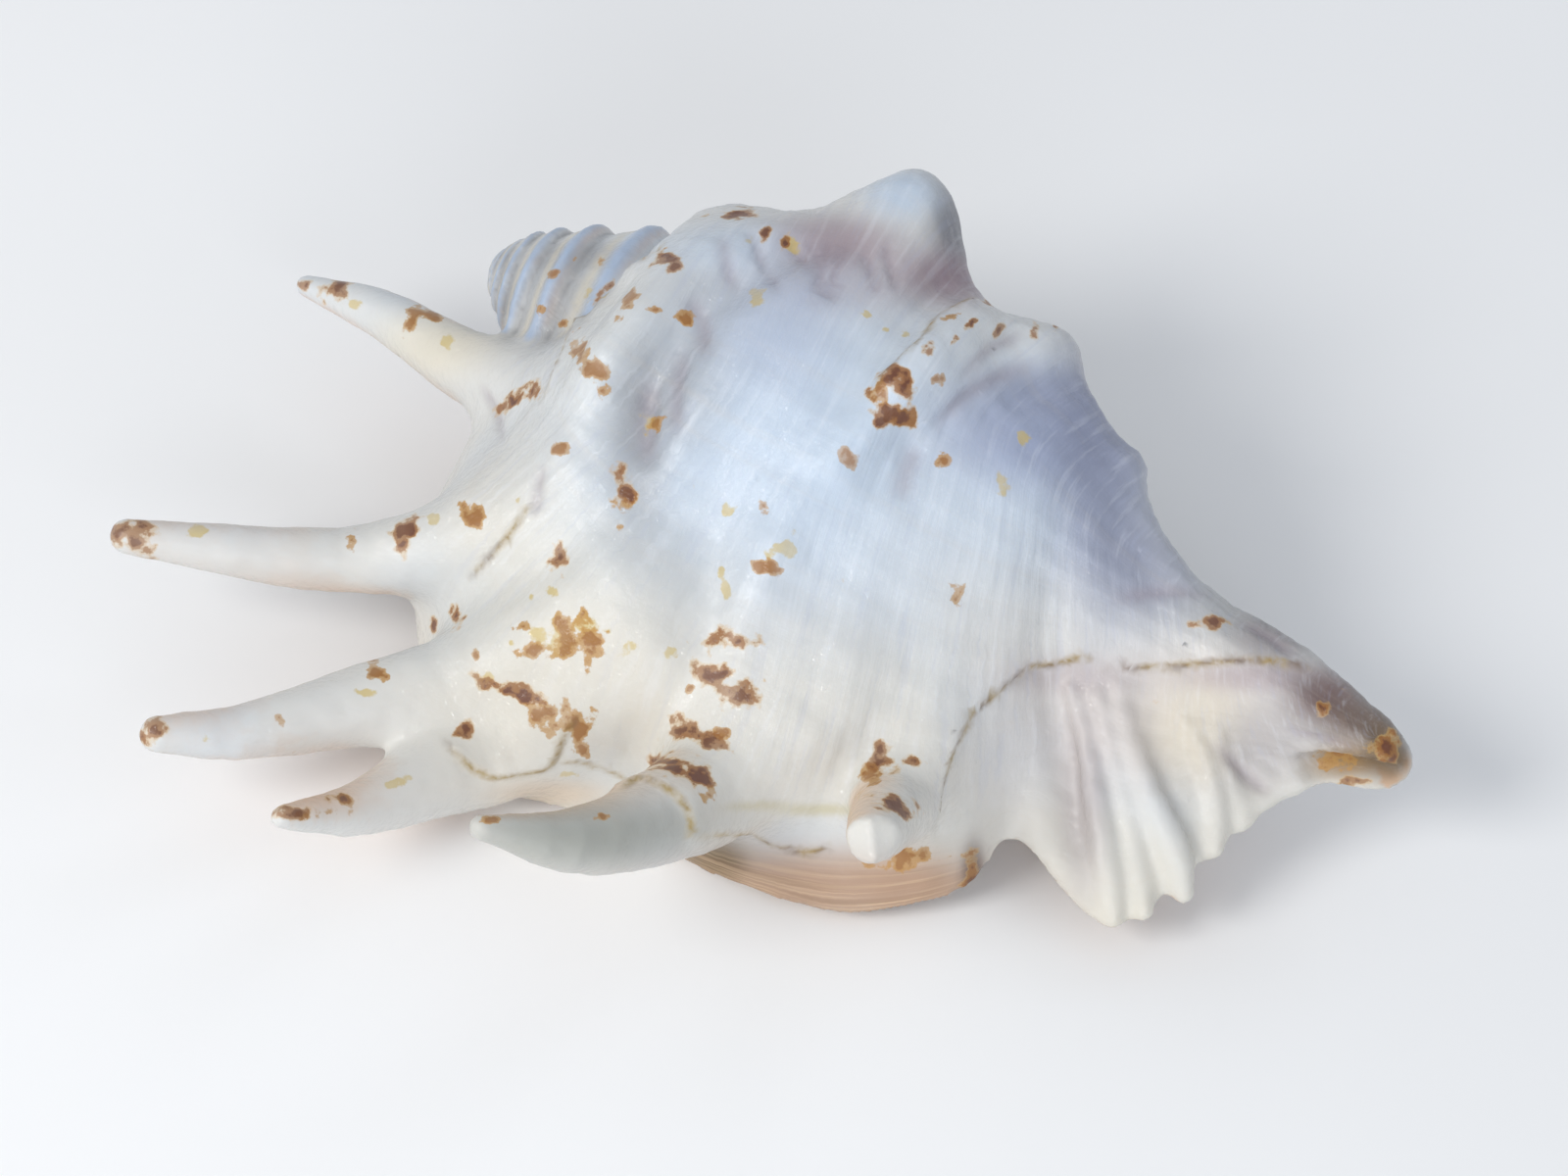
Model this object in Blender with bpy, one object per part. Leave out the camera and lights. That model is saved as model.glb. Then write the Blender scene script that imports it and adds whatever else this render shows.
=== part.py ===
"""Spider conch shell, one natural piece, at its real size.

The shell is worked out in millimetres in its growth frame and moved to its place at
the end: x runs along the coiling axis from the spire's point to the canal, the lip
and its digits reach out to -y, and z is up, with the shell lying on its opening.
"""

import bpy
import numpy as np
import openvdb

# Driving dimensions in millimetres. From the point of the spire to the canal is 155.
MM = 0.001
# Thickest wall of the last whorl, and the coiling axis: its height at the spire's point and its fall
WALL = 3.4
AXIS_HEIGHT_AT_APEX = 34.0
AXIS_DROP_PER_MM = 0.128
# Turns in degrees that lay the shell down as it rests
REST_ROLL = 3.9
REST_PITCH = -7.2
# Lattice of the solid: its step, the steps that it keeps on each side of the skin, and its corners
VOXEL = 1.0
BAND = 9
LOW_CORNER = (-34.0, -112.0, -6.0)
HIGH_CORNER = (162.0, 42.0, 74.0)
TRIANGLES = 9400

# The net that carries the last whorl. Each spiral line runs from the lip edge over the back
# of the shell and round into the opening. Lines go from the suture to the tip of the canal.
LIP_EDGE = (
    (12, -16, 28), (13, -31, 25), (15, -45, 19), (25, -59, 13), (37, -66, 9), (69, -62.5, 3),
    (94, -58, 1), (108.5, -45, 1), (112.5, -36, 6), (130, -38, 0), (140, -15, 5), (152, 2, 10),
)
LIP_BROW = (
    (14, -16.5, 32), (15.5, -30.5, 31), (18, -44, 26), (27, -57, 19), (40, -63, 15), (71, -60.5, 10.5),
    (92, -53, 9.5), (106.5, -42.5, 9), (112.5, -32.5, 9.5), (129, -34, 4), (139.5, -13.5, 7.5),
    (151.8, 1, 11),
)
LIP_MIDDLE = (
    (21, -16, 37.5), (23, -26, 40), (27, -37, 38.5), (36, -46, 34), (48, -49, 31), (75.5, -50, 27.5),
    (94, -44, 22), (104.5, -34, 18), (111.5, -24, 15), (125, -22, 12), (137, -8, 12), (151, -2, 13),
)
SHOULDER = (
    (24.5, -12, 44.5), (28, -17.5, 50), (37, -21, 55), (52, -22.5, 54), (62, -22, 52), (76, -20, 48),
    (92, -16, 40), (101, -12, 35), (107.5, -9, 31), (122, -6.5, 25.5), (136, -5, 22.6), (151, -2, 18),
)
CREST_X = (28.2, 31.5, 40, 53, 64, 77, 90, 98.5, 105.5, 119, 135, 151)
BACK_X = (27.5, 31, 39, 52, 64, 78, 92, 100, 107, 121, 137, 154)
BACK_RADIUS = (18.6, 24.5, 28, 31.3, 32, 29.3, 23.4, 19.0, 14.4, 8.6, 7.8, 3.0)
# Turn in degrees (90 up, 180 back, 270 down, 360 inside the opening) and share of the radius
TURNS = (
    (90, 1.046), (130, 1.0), (180, 0.93), (225, 0.88), (270, 0.84), (315, 0.80), (360, 0.72),
    (405, 0.58), (450, 0.42), (500, 0.29), (540, 0.2),
)
# Between these two turns the lines pass from CREST_X to BACK_X
CREST_TURNS = (90, 130)

# Wall inside the opening: share of the growth lines that have one, its thickness for each mm of
# radius and at its thinnest, and the depth from which it closes
INSIDE_SHARE = 0.554
WALL_PER_RADIUS = 0.36
THIN_WALL = 1.8
CLOSING_DEPTH = 0.8
CLOSING_PER_RADIUS = 0.42
# Callus on the inner lip: height in mm, place and reach as shares of the depth
CALLUS_HEIGHT = 3.6
CALLUS_PLACE = 0.26
CALLUS_REACH = 0.1
# Radius of the whorl where the callus starts, and where it is full
CALLUS_RADII = (8, 24)

# Spire: radius = SPIRE_WIDTH * x ** SPIRE_POWER, whorls spaced by a constant ratio
SPIRE_WIDTH = 3.02
SPIRE_POWER = 0.54
SPIRE_END = 38.0
SUTURE_X = 32.3
WHORL_RATIO = 0.62

# Digits of the lip, root to tip: centre line and radius at each place
DIGITS = {
    "first": (((32, -18, 38), (19, -18.5, 33), (5, -17, 30.5), (-11, -14.5, 30), (-25, -14.5, 28.5)),
              (9, 7, 5.3, 3.7, 1.6)),
    "second": (((40, -34, 36), (24, -46, 29), (12, -55, 27), (-1, -65.5, 31.5), (-14.5, -74.5, 36)),
               (10, 7, 5, 3.9, 2.6)),
    "third": (((52, -44, 30), (36, -61, 21), (24.5, -75.5, 22.5), (15.5, -90, 26.5), (8, -99, 31)),
              (11, 7.8, 5.7, 4, 2.7)),
    "fourth": (((58, -48, 24), (44, -66, 15), (38.5, -78, 17), (35, -91, 22.5), (31.5, -102.5, 31.5)),
               (10, 7.2, 5.6, 3.7, 1.6)),
    "fifth": (((80, -38, 24), (76, -58, 20), (74, -73.5, 26.5), (70.5, -87.5, 35.5), (62.5, -97.5, 44.5)),
              (10, 8, 6.4, 4.5, 1.8)),
    "sixth": (((97, -36, 18), (98.5, -46, 18), (100.5, -54, 23), (103, -62, 29.5)),
              (4.5, 5.6, 5.0, 3.6)),
}
JOIN = {"first": 5.0, "second": 7.0, "third": 7.0, "fourth": 6.0, "fifth": 8.0, "sixth": 7.0}

# Knobs on the back: centre, height, reach along x and across
KNOBS = (
    ((57.5, 23, 48.7), 12.2, 8.8, 10.5),
    ((85, 18.5, 41), 6.2, 6.5, 8.0),
    ((94.5, 16, 37), 2.0, 4.0, 7.0),
    ((101.5, 12.5, 33), 3.0, 4.5, 7.0),
)

# Folds that run over the back towards the digits: line, height (a valley is below 0) and reach
FOLDS = {
    "shoulder": (((46, 9, 57), (41, 3.5, 60), (38.5, -6, 60), (36.5, -14.5, 58.5),
                  (35.5, -22.5, 55.5), (35.5, -28.5, 51), (36.5, -36, 46), (34.5, -46, 39)), 3.0, 5.0),
    "hollow of the shoulder": (((50, 4, 60), (45.5, -6, 58), (44, -14.5, 57), (44, -23, 54),
                                (45, -30, 50.5), (46.5, -35, 47.5)), -2.8, 4.2),
    "lump of the shoulder": (((44, -6, 59), (45, 1.5, 60)), 1.6, 3.0),
    "second fold": (((55, 4, 61), (53, -5, 59), (52, -15, 58), (51, -23, 55), (51, -30, 51),
                     (51.5, -38, 45), (52, -48, 40), (50, -57, 31)), 1.8, 4.4),
    "middle hollow": (((59, -24, 48), (59.5, -34, 42), (61, -43, 38), (63, -52, 31)), -1.6, 5.0),
    "ridge": (((84, 20, 49), (78.5, 13, 55), (78, 3, 57.5), (77, -6, 57.5), (75.5, -13, 55.5),
               (73, -20, 51)), 4.8, 4.2),
    "edge of the ridge": (((76.5, 14, 54), (76, 4, 57.5), (74.5, -4, 57.5), (73.5, -13, 55.5)), 1.6, 1.8),
    "hollow behind the ridge": (((69, 17, 51), (70, 5.5, 55), (69, -4, 56), (68.5, -13, 54)), -2.2, 3.6),
    "hollow under the ridge": (((90, 17, 43), (88, 10, 45), (84.5, -1, 48), (80.5, -11, 49),
                                (77, -20, 49)), -2.4, 4.0),
    "to fifth digit": (((70, -27, 46), (70, -35, 41), (70.5, -43, 35), (71.5, -50, 31),
                        (72, -57, 28)), 2.4, 4.2),
    "beside the fifth digit": (((77, -29, 42), (79, -38, 36), (81, -47, 30)), -1.4, 5.0),
    "to sixth digit": (((94, -26, 30), (96, -33, 25), (98, -40, 22)), 1.6, 3.6),
    "hollow of the notch": (((100, -4, 40), (105, -14, 32), (109, -22, 23)), -1.8, 4.0),
    "to canal": (((102, 14, 34), (111, 6, 32), (119, 1, 28), (128, -4, 25)), 1.8, 3.6),
    "wing hollow": (((108.5, -19, 21), (112, -22, 15), (116, -26.5, 10.5), (120, -33, 6)), -1.8, 2.6),
    "behind the ribs": (((121, -12.5, 22), (125, -15.5, 17.5), (129.5, -18.5, 12.5)), -0.9, 2.6),
}

# Ribs of the wing, which end in small teeth past its edge: line and radius at each place
RIBS = (
    (((110.5, -17.5, 20.4), (114, -20, 17.0), (118, -24, 13.4), (122, -28.5, 9.4), (126, -33, 5.4),
      (129.6, -37.3, 0.8)), (0.6, 1.3, 1.7, 1.9, 1.9, 1.5)),
    (((114.5, -16.5, 20.6), (118, -19.5, 17.0), (121.5, -22.5, 13.4), (126, -26.5, 8.9),
      (129.5, -30.5, 4.9), (133, -34.3, 0.8)), (0.6, 1.1, 1.3, 1.4, 1.5, 1.4)),
    (((117, -14.5, 20.6), (120, -17.5, 17.4), (124.5, -21, 13.4), (128.5, -23.5, 9.8), (133, -26, 6.0),
      (136.6, -29, 1.8)), (0.6, 1.4, 1.9, 2.3, 2.5, 1.6)),
    (((127, -12.2, 17.4), (132, -14.3, 11.8), (135.3, -17.5, 7.4), (137.5, -21.2, 4)), (0.6, 1.3, 1.7, 1.4)),
    (((129.5, -10.2, 16.6), (134.5, -12.4, 10.2), (138.8, -15.3, 5)), (0.6, 1.3, 1.1)),
    (((133, -8, 13), (136, -9, 9.4), (139.8, -10.5, 6)), (0.8, 1.1, 1.0)),
    (((137.5, -8.8, 9), (140.4, -8.4, 7.2), (142.6, -7.4, 7), (143.3, -6.6, 8)), (1.2, 1.2, 1.2, 1.0)),
)

# The canal: its pipe, and the trough that opens it towards the lip
CANAL = (((122, -2, 19.5), (134, -1, 16.5), (143.5, -0.4, 13.8), (150, 0.3, 11.7), (152.6, 0.6, 10.8)),
         (6, 6.2, 6, 5.6, 4.6))
TROUGH = (((142.5, -7.4, 11.6), (147, -5.8, 11.8), (152, -4.6, 11.4), (160, -3.4, 9.8)), (1.0, 3.6, 4.2, 4.2))
# The tip of the sixth digit is broken off in two hollow faces: centre and radius of each
BREAKS = (((101.3, -75.8, 36.6), 14.0), ((115.7, -65.1, 38.1), 14.0))

# Widths of the fillets where pieces of the shell run together, and of the edges that are cut
SPIRE_JOIN = 2.5
RIB_JOIN = 1.8
CANAL_JOIN = 3.0
TROUGH_EDGE = 0.8
BREAK_EDGE = 0.4


def clear_scene():
    for thing in list(bpy.data.objects):
        bpy.data.objects.remove(thing)


def axis_height(x):
    return AXIS_HEIGHT_AT_APEX - AXIS_DROP_PER_MM * x


def smooth_path(points, count):
    """Catmull-Rom curve through the points, sampled at count places."""
    points = np.asarray(points, float)
    before = 2 * points[:1] - points[1:2]
    after = 2 * points[-1:] - points[-2:-1]
    held = np.concatenate([before, points, after])
    place = np.linspace(0, len(points) - 1, count)
    first = np.minimum(place.astype(int), len(points) - 2)
    t = (place - first).reshape((-1,) + (1,) * (points.ndim - 1))
    a, b, c, d = held[first], held[first + 1], held[first + 2], held[first + 3]
    bend = 2 * a - 5 * b + 4 * c - d
    return 0.5 * (2 * b + (c - a) * t + bend * t**2 + (3 * b - a - 3 * c + d) * t**3)


def control_net():
    """Rows of the net, one for each growth line, from the lip edge inwards."""
    rows = [LIP_EDGE, LIP_BROW, LIP_MIDDLE, SHOULDER]
    for turn, share in TURNS:
        angle = np.radians(turn)
        crest_part = np.interp(turn, CREST_TURNS, (1, 0))
        row = []
        for crest_x, back_x, radius in zip(CREST_X, BACK_X, BACK_RADIUS):
            x = back_x + (crest_x - back_x) * crest_part
            reach = radius * share
            row.append((x, -reach * np.cos(angle), axis_height(x) + reach * np.sin(angle)))
        rows.append(row)
    return np.asarray(rows, float)


def surface_normals(grid):
    normals = np.cross(np.gradient(grid, axis=0), np.gradient(grid, axis=1))
    normals /= np.maximum(np.linalg.norm(normals, axis=2, keepdims=True), 1e-9)
    middle = grid.shape[1] // 3
    x, y, z = grid[:, middle].T
    away = np.stack([0 * x, y, z - axis_height(x)], 1)
    return normals * np.sign(np.sum(normals[:, middle] * away))


def knob_lift(points):
    lift = np.zeros(points.shape[:-1])
    for centre, height, along, across in KNOBS:
        away = points - centre
        share = (away[..., 0] / along) ** 2 + (away[..., 1] ** 2 + away[..., 2] ** 2) / across**2
        lift += height * np.exp(-share)
    return lift


def fold_lift(points):
    lift = np.zeros(points.shape[:-1])
    for path, height, reach in FOLDS.values():
        line = smooth_path(path, 4 * len(path))
        gaps = np.linalg.norm(points[..., None, :] - line, axis=-1)
        fade = np.sin(np.linspace(0.25, np.pi - 0.25, len(line))) ** 0.5
        lift += height * np.max(fade * np.exp(-((gaps / reach) ** 2)), axis=-1)
    return lift


def whorl_grid(lines, rows):
    grid = smooth_path(control_net(), rows)
    grid = smooth_path(np.swapaxes(grid, 0, 1), lines)
    normals = surface_normals(grid)
    lift = knob_lift(grid) + fold_lift(grid)
    return grid + normals * lift[..., None], normals


def whorl_mesh(lines=110, rows=150):
    """Closed loft of the last whorl: one loop for each spiral line, wound like a 9."""
    outer, normals = whorl_grid(lines, rows)
    inside = int(rows * INSIDE_SHARE)
    radius = np.interp(outer[:, rows // 3, 0], BACK_X, BACK_RADIUS)
    wall = np.clip(WALL_PER_RADIUS * radius, THIN_WALL, WALL)[:, None]
    depth = np.linspace(0, 1, inside)[None, :]
    closing = np.clip((depth - CLOSING_DEPTH) / (1 - CLOSING_DEPTH), 0, 1) ** 2
    callus = CALLUS_HEIGHT * np.exp(-(((depth - CALLUS_PLACE) / CALLUS_REACH) ** 2))
    callus = callus * np.clip((radius[:, None] - CALLUS_RADII[0]) / (CALLUS_RADII[1] - CALLUS_RADII[0]), 0, 1)
    thickness = wall + callus + closing * (CLOSING_PER_RADIUS * radius[:, None])
    inner = outer[:, :inside] - normals[:, :inside] * thickness[..., None]
    loops = np.concatenate([outer, inner[:, ::-1]], axis=1)
    return loft(loops)


def loft(loops):
    """Points and triangles of a closed skin over a stack of closed loops."""
    count, ring = loops.shape[:2]
    points = loops.reshape(-1, 3)
    here = np.arange(ring)
    after = (here + 1) % ring
    faces = []
    for line in range(count - 1):
        low, high = line * ring, (line + 1) * ring
        faces.append(np.stack([low + here, low + after, high + after], 1))
        faces.append(np.stack([low + here, high + after, high + here], 1))
    ends = [loops[0].mean(axis=0), loops[-1].mean(axis=0)]
    points = np.concatenate([points, ends])
    last = (count - 1) * ring
    faces.append(np.stack([0 * here + count * ring, after, here], 1))
    faces.append(np.stack([0 * here + count * ring + 1, last + here, last + after], 1))
    return points, np.concatenate(faces)


def lattice():
    """Corner and size of the lattice, and the x, y and z of its points in mm."""
    low = np.floor(np.array(LOW_CORNER) / VOXEL).astype(int)
    high = np.ceil(np.array(HIGH_CORNER) / VOXEL).astype(int)
    axes = [np.arange(a, b) * VOXEL for a, b in zip(low, high)]
    return low, tuple(high - low), np.meshgrid(*axes, indexing="ij", sparse=True)


def distance_to_mesh(points, faces, low, size):
    transform = openvdb.createLinearTransform(voxelSize=VOXEL)
    grid = openvdb.FloatGrid.createLevelSetFromPolygons(
        points.astype(np.float32), triangles=faces.astype(np.uint32), transform=transform, halfWidth=BAND
    )
    field = np.zeros(size, np.float32)
    grid.copyToArray(field, ijk=tuple(int(v) for v in low))
    return field


def blend(one, other, width):
    """Union of two distance fields with a fillet of about this width."""
    part = np.maximum(width - np.abs(one - other), 0) / width
    return np.minimum(one, other) - part * part * width / 4


def carve(field, cutter, width):
    return -blend(-field, cutter, width)


def distance_to_path(path, radii, space, pieces=14):
    """Distance to a tapering round tube along a smooth path."""
    line = smooth_path(path, pieces)
    widths = smooth_path(np.asarray(radii, float), pieces)
    x, y, z = space
    nearest = np.full(np.broadcast_shapes(x.shape, y.shape, z.shape), 1e3, np.float32)
    for start, end, wide, thin in zip(line[:-1], line[1:], widths[:-1], widths[1:]):
        step = end - start
        part = (x - start[0]) * step[0] + (y - start[1]) * step[1] + (z - start[2]) * step[2]
        part = np.clip(part / step.dot(step), 0, 1)
        gap = (x - start[0] - part * step[0]) ** 2 + (y - start[1] - part * step[1]) ** 2
        gap = np.sqrt(gap + (z - start[2] - part * step[2]) ** 2)
        nearest = np.minimum(nearest, gap - wide - part * (thin - wide))
    return nearest


def spire_profile(stage):
    """Radius of a spire whorl as a share, from its suture (0) forward to the next (1)."""
    stages = (0, 0.08, 0.36, 0.5, 0.62, 0.78, 0.94, 1)
    return np.interp(stage, stages, (0.92, 0.97, 1.0, 1.07, 1.07, 0.98, 0.935, 0.92))


def distance_to_spire(space):
    x, y, z = space
    up = z - axis_height(x)
    reach = np.sqrt(y**2 + up**2)
    turn = np.arctan2(up, -y) / (2 * np.pi)
    along = np.maximum(x, 0.05)
    stage = np.log(along / SUTURE_X) / np.log(1 / WHORL_RATIO) + turn
    radius = SPIRE_WIDTH * along**SPIRE_POWER * spire_profile(stage % 1.0)
    side = (reach - radius) * 0.8
    return np.maximum(np.maximum(side, -x), x - SPIRE_END).astype(np.float32)


def shell_field():
    low, size, space = lattice()
    points, faces = whorl_mesh()
    field = distance_to_mesh(points, faces, low, size)
    field = blend(field, distance_to_spire(space), SPIRE_JOIN)
    for name, (path, radii) in DIGITS.items():
        field = blend(field, distance_to_path(path, radii, space), JOIN[name])
    for path, radii in RIBS:
        field = blend(field, distance_to_path(path, radii, space), RIB_JOIN)
    field = blend(field, distance_to_path(CANAL[0], CANAL[1], space), CANAL_JOIN)
    field = carve(field, distance_to_path(TROUGH[0], TROUGH[1], space), TROUGH_EDGE)
    x, y, z = space
    for centre, radius in BREAKS:
        ball = np.sqrt((x - centre[0]) ** 2 + (y - centre[1]) ** 2 + (z - centre[2]) ** 2)
        field = carve(field, ball - radius, BREAK_EDGE)
    return field.astype(np.float32), low


def skin(field, low):
    """Triangles of the surface where the field is nought."""
    transform = openvdb.createLinearTransform(voxelSize=VOXEL)
    grid = openvdb.FloatGrid(BAND * VOXEL)
    grid.transform = transform
    grid.copyFromArray(np.clip(field, -BAND * VOXEL, BAND * VOXEL), ijk=tuple(int(v) for v in low))
    points, quads = grid.convertToQuads(0.0)
    return points, quads


def make_material():
    material = bpy.data.materials.new("shell")
    material.use_nodes = True
    principled = material.node_tree.nodes["Principled BSDF"]
    principled.inputs["Base Color"].default_value = (0.78, 0.76, 0.72, 1)
    principled.inputs["Roughness"].default_value = 0.3
    principled.inputs["Metallic"].default_value = 0
    return material


def thinned(mesh):
    """The mesh with flat places made of fewer and larger triangles."""
    holder = bpy.data.objects.new("thinned", mesh)
    bpy.context.collection.objects.link(holder)
    thin = holder.modifiers.new("thin", "DECIMATE")
    thin.use_collapse_triangulate = True
    thin.ratio = TRIANGLES / (2 * len(mesh.polygons))
    graph = bpy.context.evaluated_depsgraph_get()
    result = bpy.data.meshes.new_from_object(holder.evaluated_get(graph))
    bpy.data.objects.remove(holder)
    return result


def stand_on_origin(mesh):
    """Puts the middle of the bounding box's bottom face at the origin."""
    points = np.empty(len(mesh.vertices) * 3, np.float32)
    mesh.vertices.foreach_get("co", points)
    points = points.reshape(-1, 3)
    low, high = points.min(axis=0), points.max(axis=0)
    points -= ((low[0] + high[0]) / 2, (low[1] + high[1]) / 2, low[2])
    mesh.vertices.foreach_set("co", points.ravel())
    mesh.update()


def laid_down(points):
    """Turns the shell from its growth frame to the way that it lies on a table."""
    roll, pitch = np.radians(REST_ROLL), np.radians(REST_PITCH)
    about_x = np.array([[1, 0, 0], [0, np.cos(roll), -np.sin(roll)], [0, np.sin(roll), np.cos(roll)]])
    about_y = np.array([[np.cos(pitch), 0, np.sin(pitch)], [0, 1, 0], [-np.sin(pitch), 0, np.cos(pitch)]])
    return points @ (about_x @ about_y).T


def make_shell():
    points, quads = skin(*shell_field())
    points = laid_down(points)
    fine = bpy.data.meshes.new("fine")
    fine.from_pydata((points * MM).tolist(), [], quads.tolist())
    mesh = thinned(fine)
    mesh.name = "shell"
    stand_on_origin(mesh)
    mesh.shade_smooth()
    mesh.materials.append(make_material())
    shell = bpy.data.objects.new("shell", mesh)
    bpy.context.collection.objects.link(shell)
    return shell


clear_scene()
make_shell()
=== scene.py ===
"""Looks of the spider conch shell: its fine surface, colours, markings, light and camera.

The fine surface is worked out in millimetres in the shell's growth frame, as the solid is:
x along the coiling axis from the spire to the canal, the digits to -y, z up. A place read
from the photograph is a pixel of its 1600 x 1200 frame, put on the surface by sight_ray.
"""

import random

import bpy
import numpy as np
import openvdb
from mathutils import Matrix, Vector, noise
from mathutils.bvhtree import BVHTree
from mathutils.kdtree import KDTree


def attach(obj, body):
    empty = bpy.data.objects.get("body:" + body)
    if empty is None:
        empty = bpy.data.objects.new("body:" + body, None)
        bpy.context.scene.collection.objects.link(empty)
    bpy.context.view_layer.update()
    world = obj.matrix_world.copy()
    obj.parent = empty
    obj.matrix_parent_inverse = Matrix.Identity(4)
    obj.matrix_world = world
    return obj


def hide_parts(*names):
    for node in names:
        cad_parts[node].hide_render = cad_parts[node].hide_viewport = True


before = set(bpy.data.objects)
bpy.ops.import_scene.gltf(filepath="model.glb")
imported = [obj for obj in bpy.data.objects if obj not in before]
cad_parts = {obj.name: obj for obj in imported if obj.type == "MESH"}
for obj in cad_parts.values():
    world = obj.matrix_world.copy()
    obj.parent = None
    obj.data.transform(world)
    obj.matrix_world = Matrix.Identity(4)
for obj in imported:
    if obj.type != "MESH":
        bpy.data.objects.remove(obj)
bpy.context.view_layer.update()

MM = 0.001
SEED = 7

# Fine surface, in mm
VOXEL = 0.75
BAND = 9
TRIANGLES = 190000
WALL = 3.4
AXIS_HEIGHT_AT_APEX = 34.0
AXIS_DROP_PER_MM = 0.128
REST_ROLL = 3.9
REST_PITCH = -7.2
LOW_CORNER = (-34.0, -112.0, -6.0)
HIGH_CORNER = (162.0, 42.0, 74.0)

# The camera, in the growth frame: angles in degrees, distance in mm, mm of shell per pixel
VIEW_AZIMUTH = 31.0
VIEW_ELEVATION = 50.0
VIEW_DISTANCE = 750.0
MM_PER_PIXEL = 0.15
PHOTO_WIDTH = 1600
PHOTO_CENTRE = (800, 600)
VIEW_TARGET = (56.5, -8.1, 0.0)
SENSOR_MM = 36.0

# The net that carries the last whorl. Each spiral line runs from the lip edge over the back
# of the shell and round into the opening. Lines go from the suture to the tip of the canal.
LIP_EDGE = (
    (12, -16, 28), (13, -31, 25), (15, -45, 19), (25, -59, 13), (37, -66, 9), (69, -62.5, 3),
    (94, -58, 1), (108.5, -45, 1), (112.5, -36, 6), (130, -38, 0), (140, -15, 5), (152, 2, 10),
)
LIP_BROW = (
    (14, -16.5, 32), (15.5, -30.5, 31), (18, -44, 26), (27, -57, 19), (40, -63, 15), (71, -60.5, 10.5),
    (92, -53, 9.5), (106.5, -42.5, 9), (112.5, -32.5, 9.5), (129, -34, 4), (139.5, -13.5, 7.5),
    (151.8, 1, 11),
)
LIP_MIDDLE = (
    (21, -16, 37.5), (23, -26, 40), (27, -37, 38.5), (36, -46, 34), (48, -49, 31), (75.5, -50, 27.5),
    (94, -44, 22), (104.5, -34, 18), (111.5, -24, 15), (125, -22, 12), (137, -8, 12), (151, -2, 13),
)
SHOULDER = (
    (24.5, -12, 44.5), (28, -17.5, 50), (37, -21, 55), (52, -22.5, 54), (62, -22, 52), (76, -20, 48),
    (92, -16, 40), (101, -12, 35), (107.5, -9, 31), (122, -6.5, 25.5), (136, -5, 22.6), (151, -2, 18),
)
CREST_X = (28.2, 31.5, 40, 53, 64, 77, 90, 98.5, 105.5, 119, 135, 151)
BACK_X = (27.5, 31, 39, 52, 64, 78, 92, 100, 107, 121, 137, 154)
BACK_RADIUS = (18.6, 24.5, 28, 31.3, 32, 29.3, 23.4, 19.0, 14.4, 8.6, 7.8, 3.0)
# Turn in degrees (90 up, 180 back, 270 down, 360 inside the opening) and share of the radius
TURNS = (
    (90, 1.046), (130, 1.0), (180, 0.93), (225, 0.88), (270, 0.84), (315, 0.80), (360, 0.72),
    (405, 0.58), (450, 0.42), (500, 0.29), (540, 0.2),
)
# Between these two turns the lines pass from CREST_X to BACK_X
CREST_TURNS = (90, 130)

# Wall inside the opening: share of the growth lines that have one, its thickness for each mm of
# radius and at its thinnest, and the depth from which it closes
INSIDE_SHARE = 0.554
WALL_PER_RADIUS = 0.36
THIN_WALL = 1.8
CLOSING_DEPTH = 0.8
CLOSING_PER_RADIUS = 0.42
# Callus on the inner lip: height in mm, place and reach as shares of the depth
CALLUS_HEIGHT = 3.6
CALLUS_PLACE = 0.26
CALLUS_REACH = 0.1
# Radius of the whorl where the callus starts, and where it is full
CALLUS_RADII = (8, 24)

# Spire: radius = SPIRE_WIDTH * x ** SPIRE_POWER, whorls spaced by a constant ratio
SPIRE_WIDTH = 3.02
SPIRE_POWER = 0.54
SPIRE_END = 38.0
SUTURE_X = 32.3
WHORL_RATIO = 0.62

# Digits of the lip, root to tip: centre line and radius at each place
DIGITS = {
    "first": (((32, -18, 38), (19, -18.5, 33), (5, -17, 30.5), (-11, -14.5, 30), (-25, -14.5, 28.5)),
        (9, 7, 5.3, 3.7, 1.6)),
    "second": (((40, -34, 36), (24, -46, 29), (12, -55, 27), (-1, -65.5, 31.5), (-14.5, -74.5, 36)),
        (10, 7, 5, 3.9, 2.6)),
    "third": (((52, -44, 30), (36, -61, 21), (24.5, -75.5, 22.5), (15.5, -90, 26.5), (8, -99, 31)),
        (11, 7.8, 5.7, 4, 2.7)),
    "fourth": (((58, -48, 24), (44, -66, 15), (38.5, -78, 17), (35, -91, 22.5), (31.5, -102.5, 31.5)),
        (10, 7.2, 5.6, 3.7, 1.6)),
    "fifth": (((80, -38, 24), (76, -58, 20), (74, -73.5, 26.5), (70.5, -87.5, 35.5), (62.5, -97.5, 44.5)),
        (10, 8, 6.4, 4.5, 1.8)),
    "sixth": (((97, -36, 18), (98.5, -46, 18), (100.5, -54, 23), (103, -62, 29.5)),
        (4.5, 5.6, 5.0, 3.6)),
}
JOIN = {"first": 5.0, "second": 7.0, "third": 7.0, "fourth": 6.0, "fifth": 8.0, "sixth": 7.0}

# Knobs on the back: centre, height, reach along x and across
KNOBS = (
    ((57.5, 23, 48.7), 12.2, 8.8, 10.5),
    ((85, 18.5, 41), 6.2, 6.5, 8.0),
    ((94.5, 16, 37), 2.0, 4.0, 7.0),
    ((101.5, 12.5, 33), 3.0, 4.5, 7.0),
)

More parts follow.
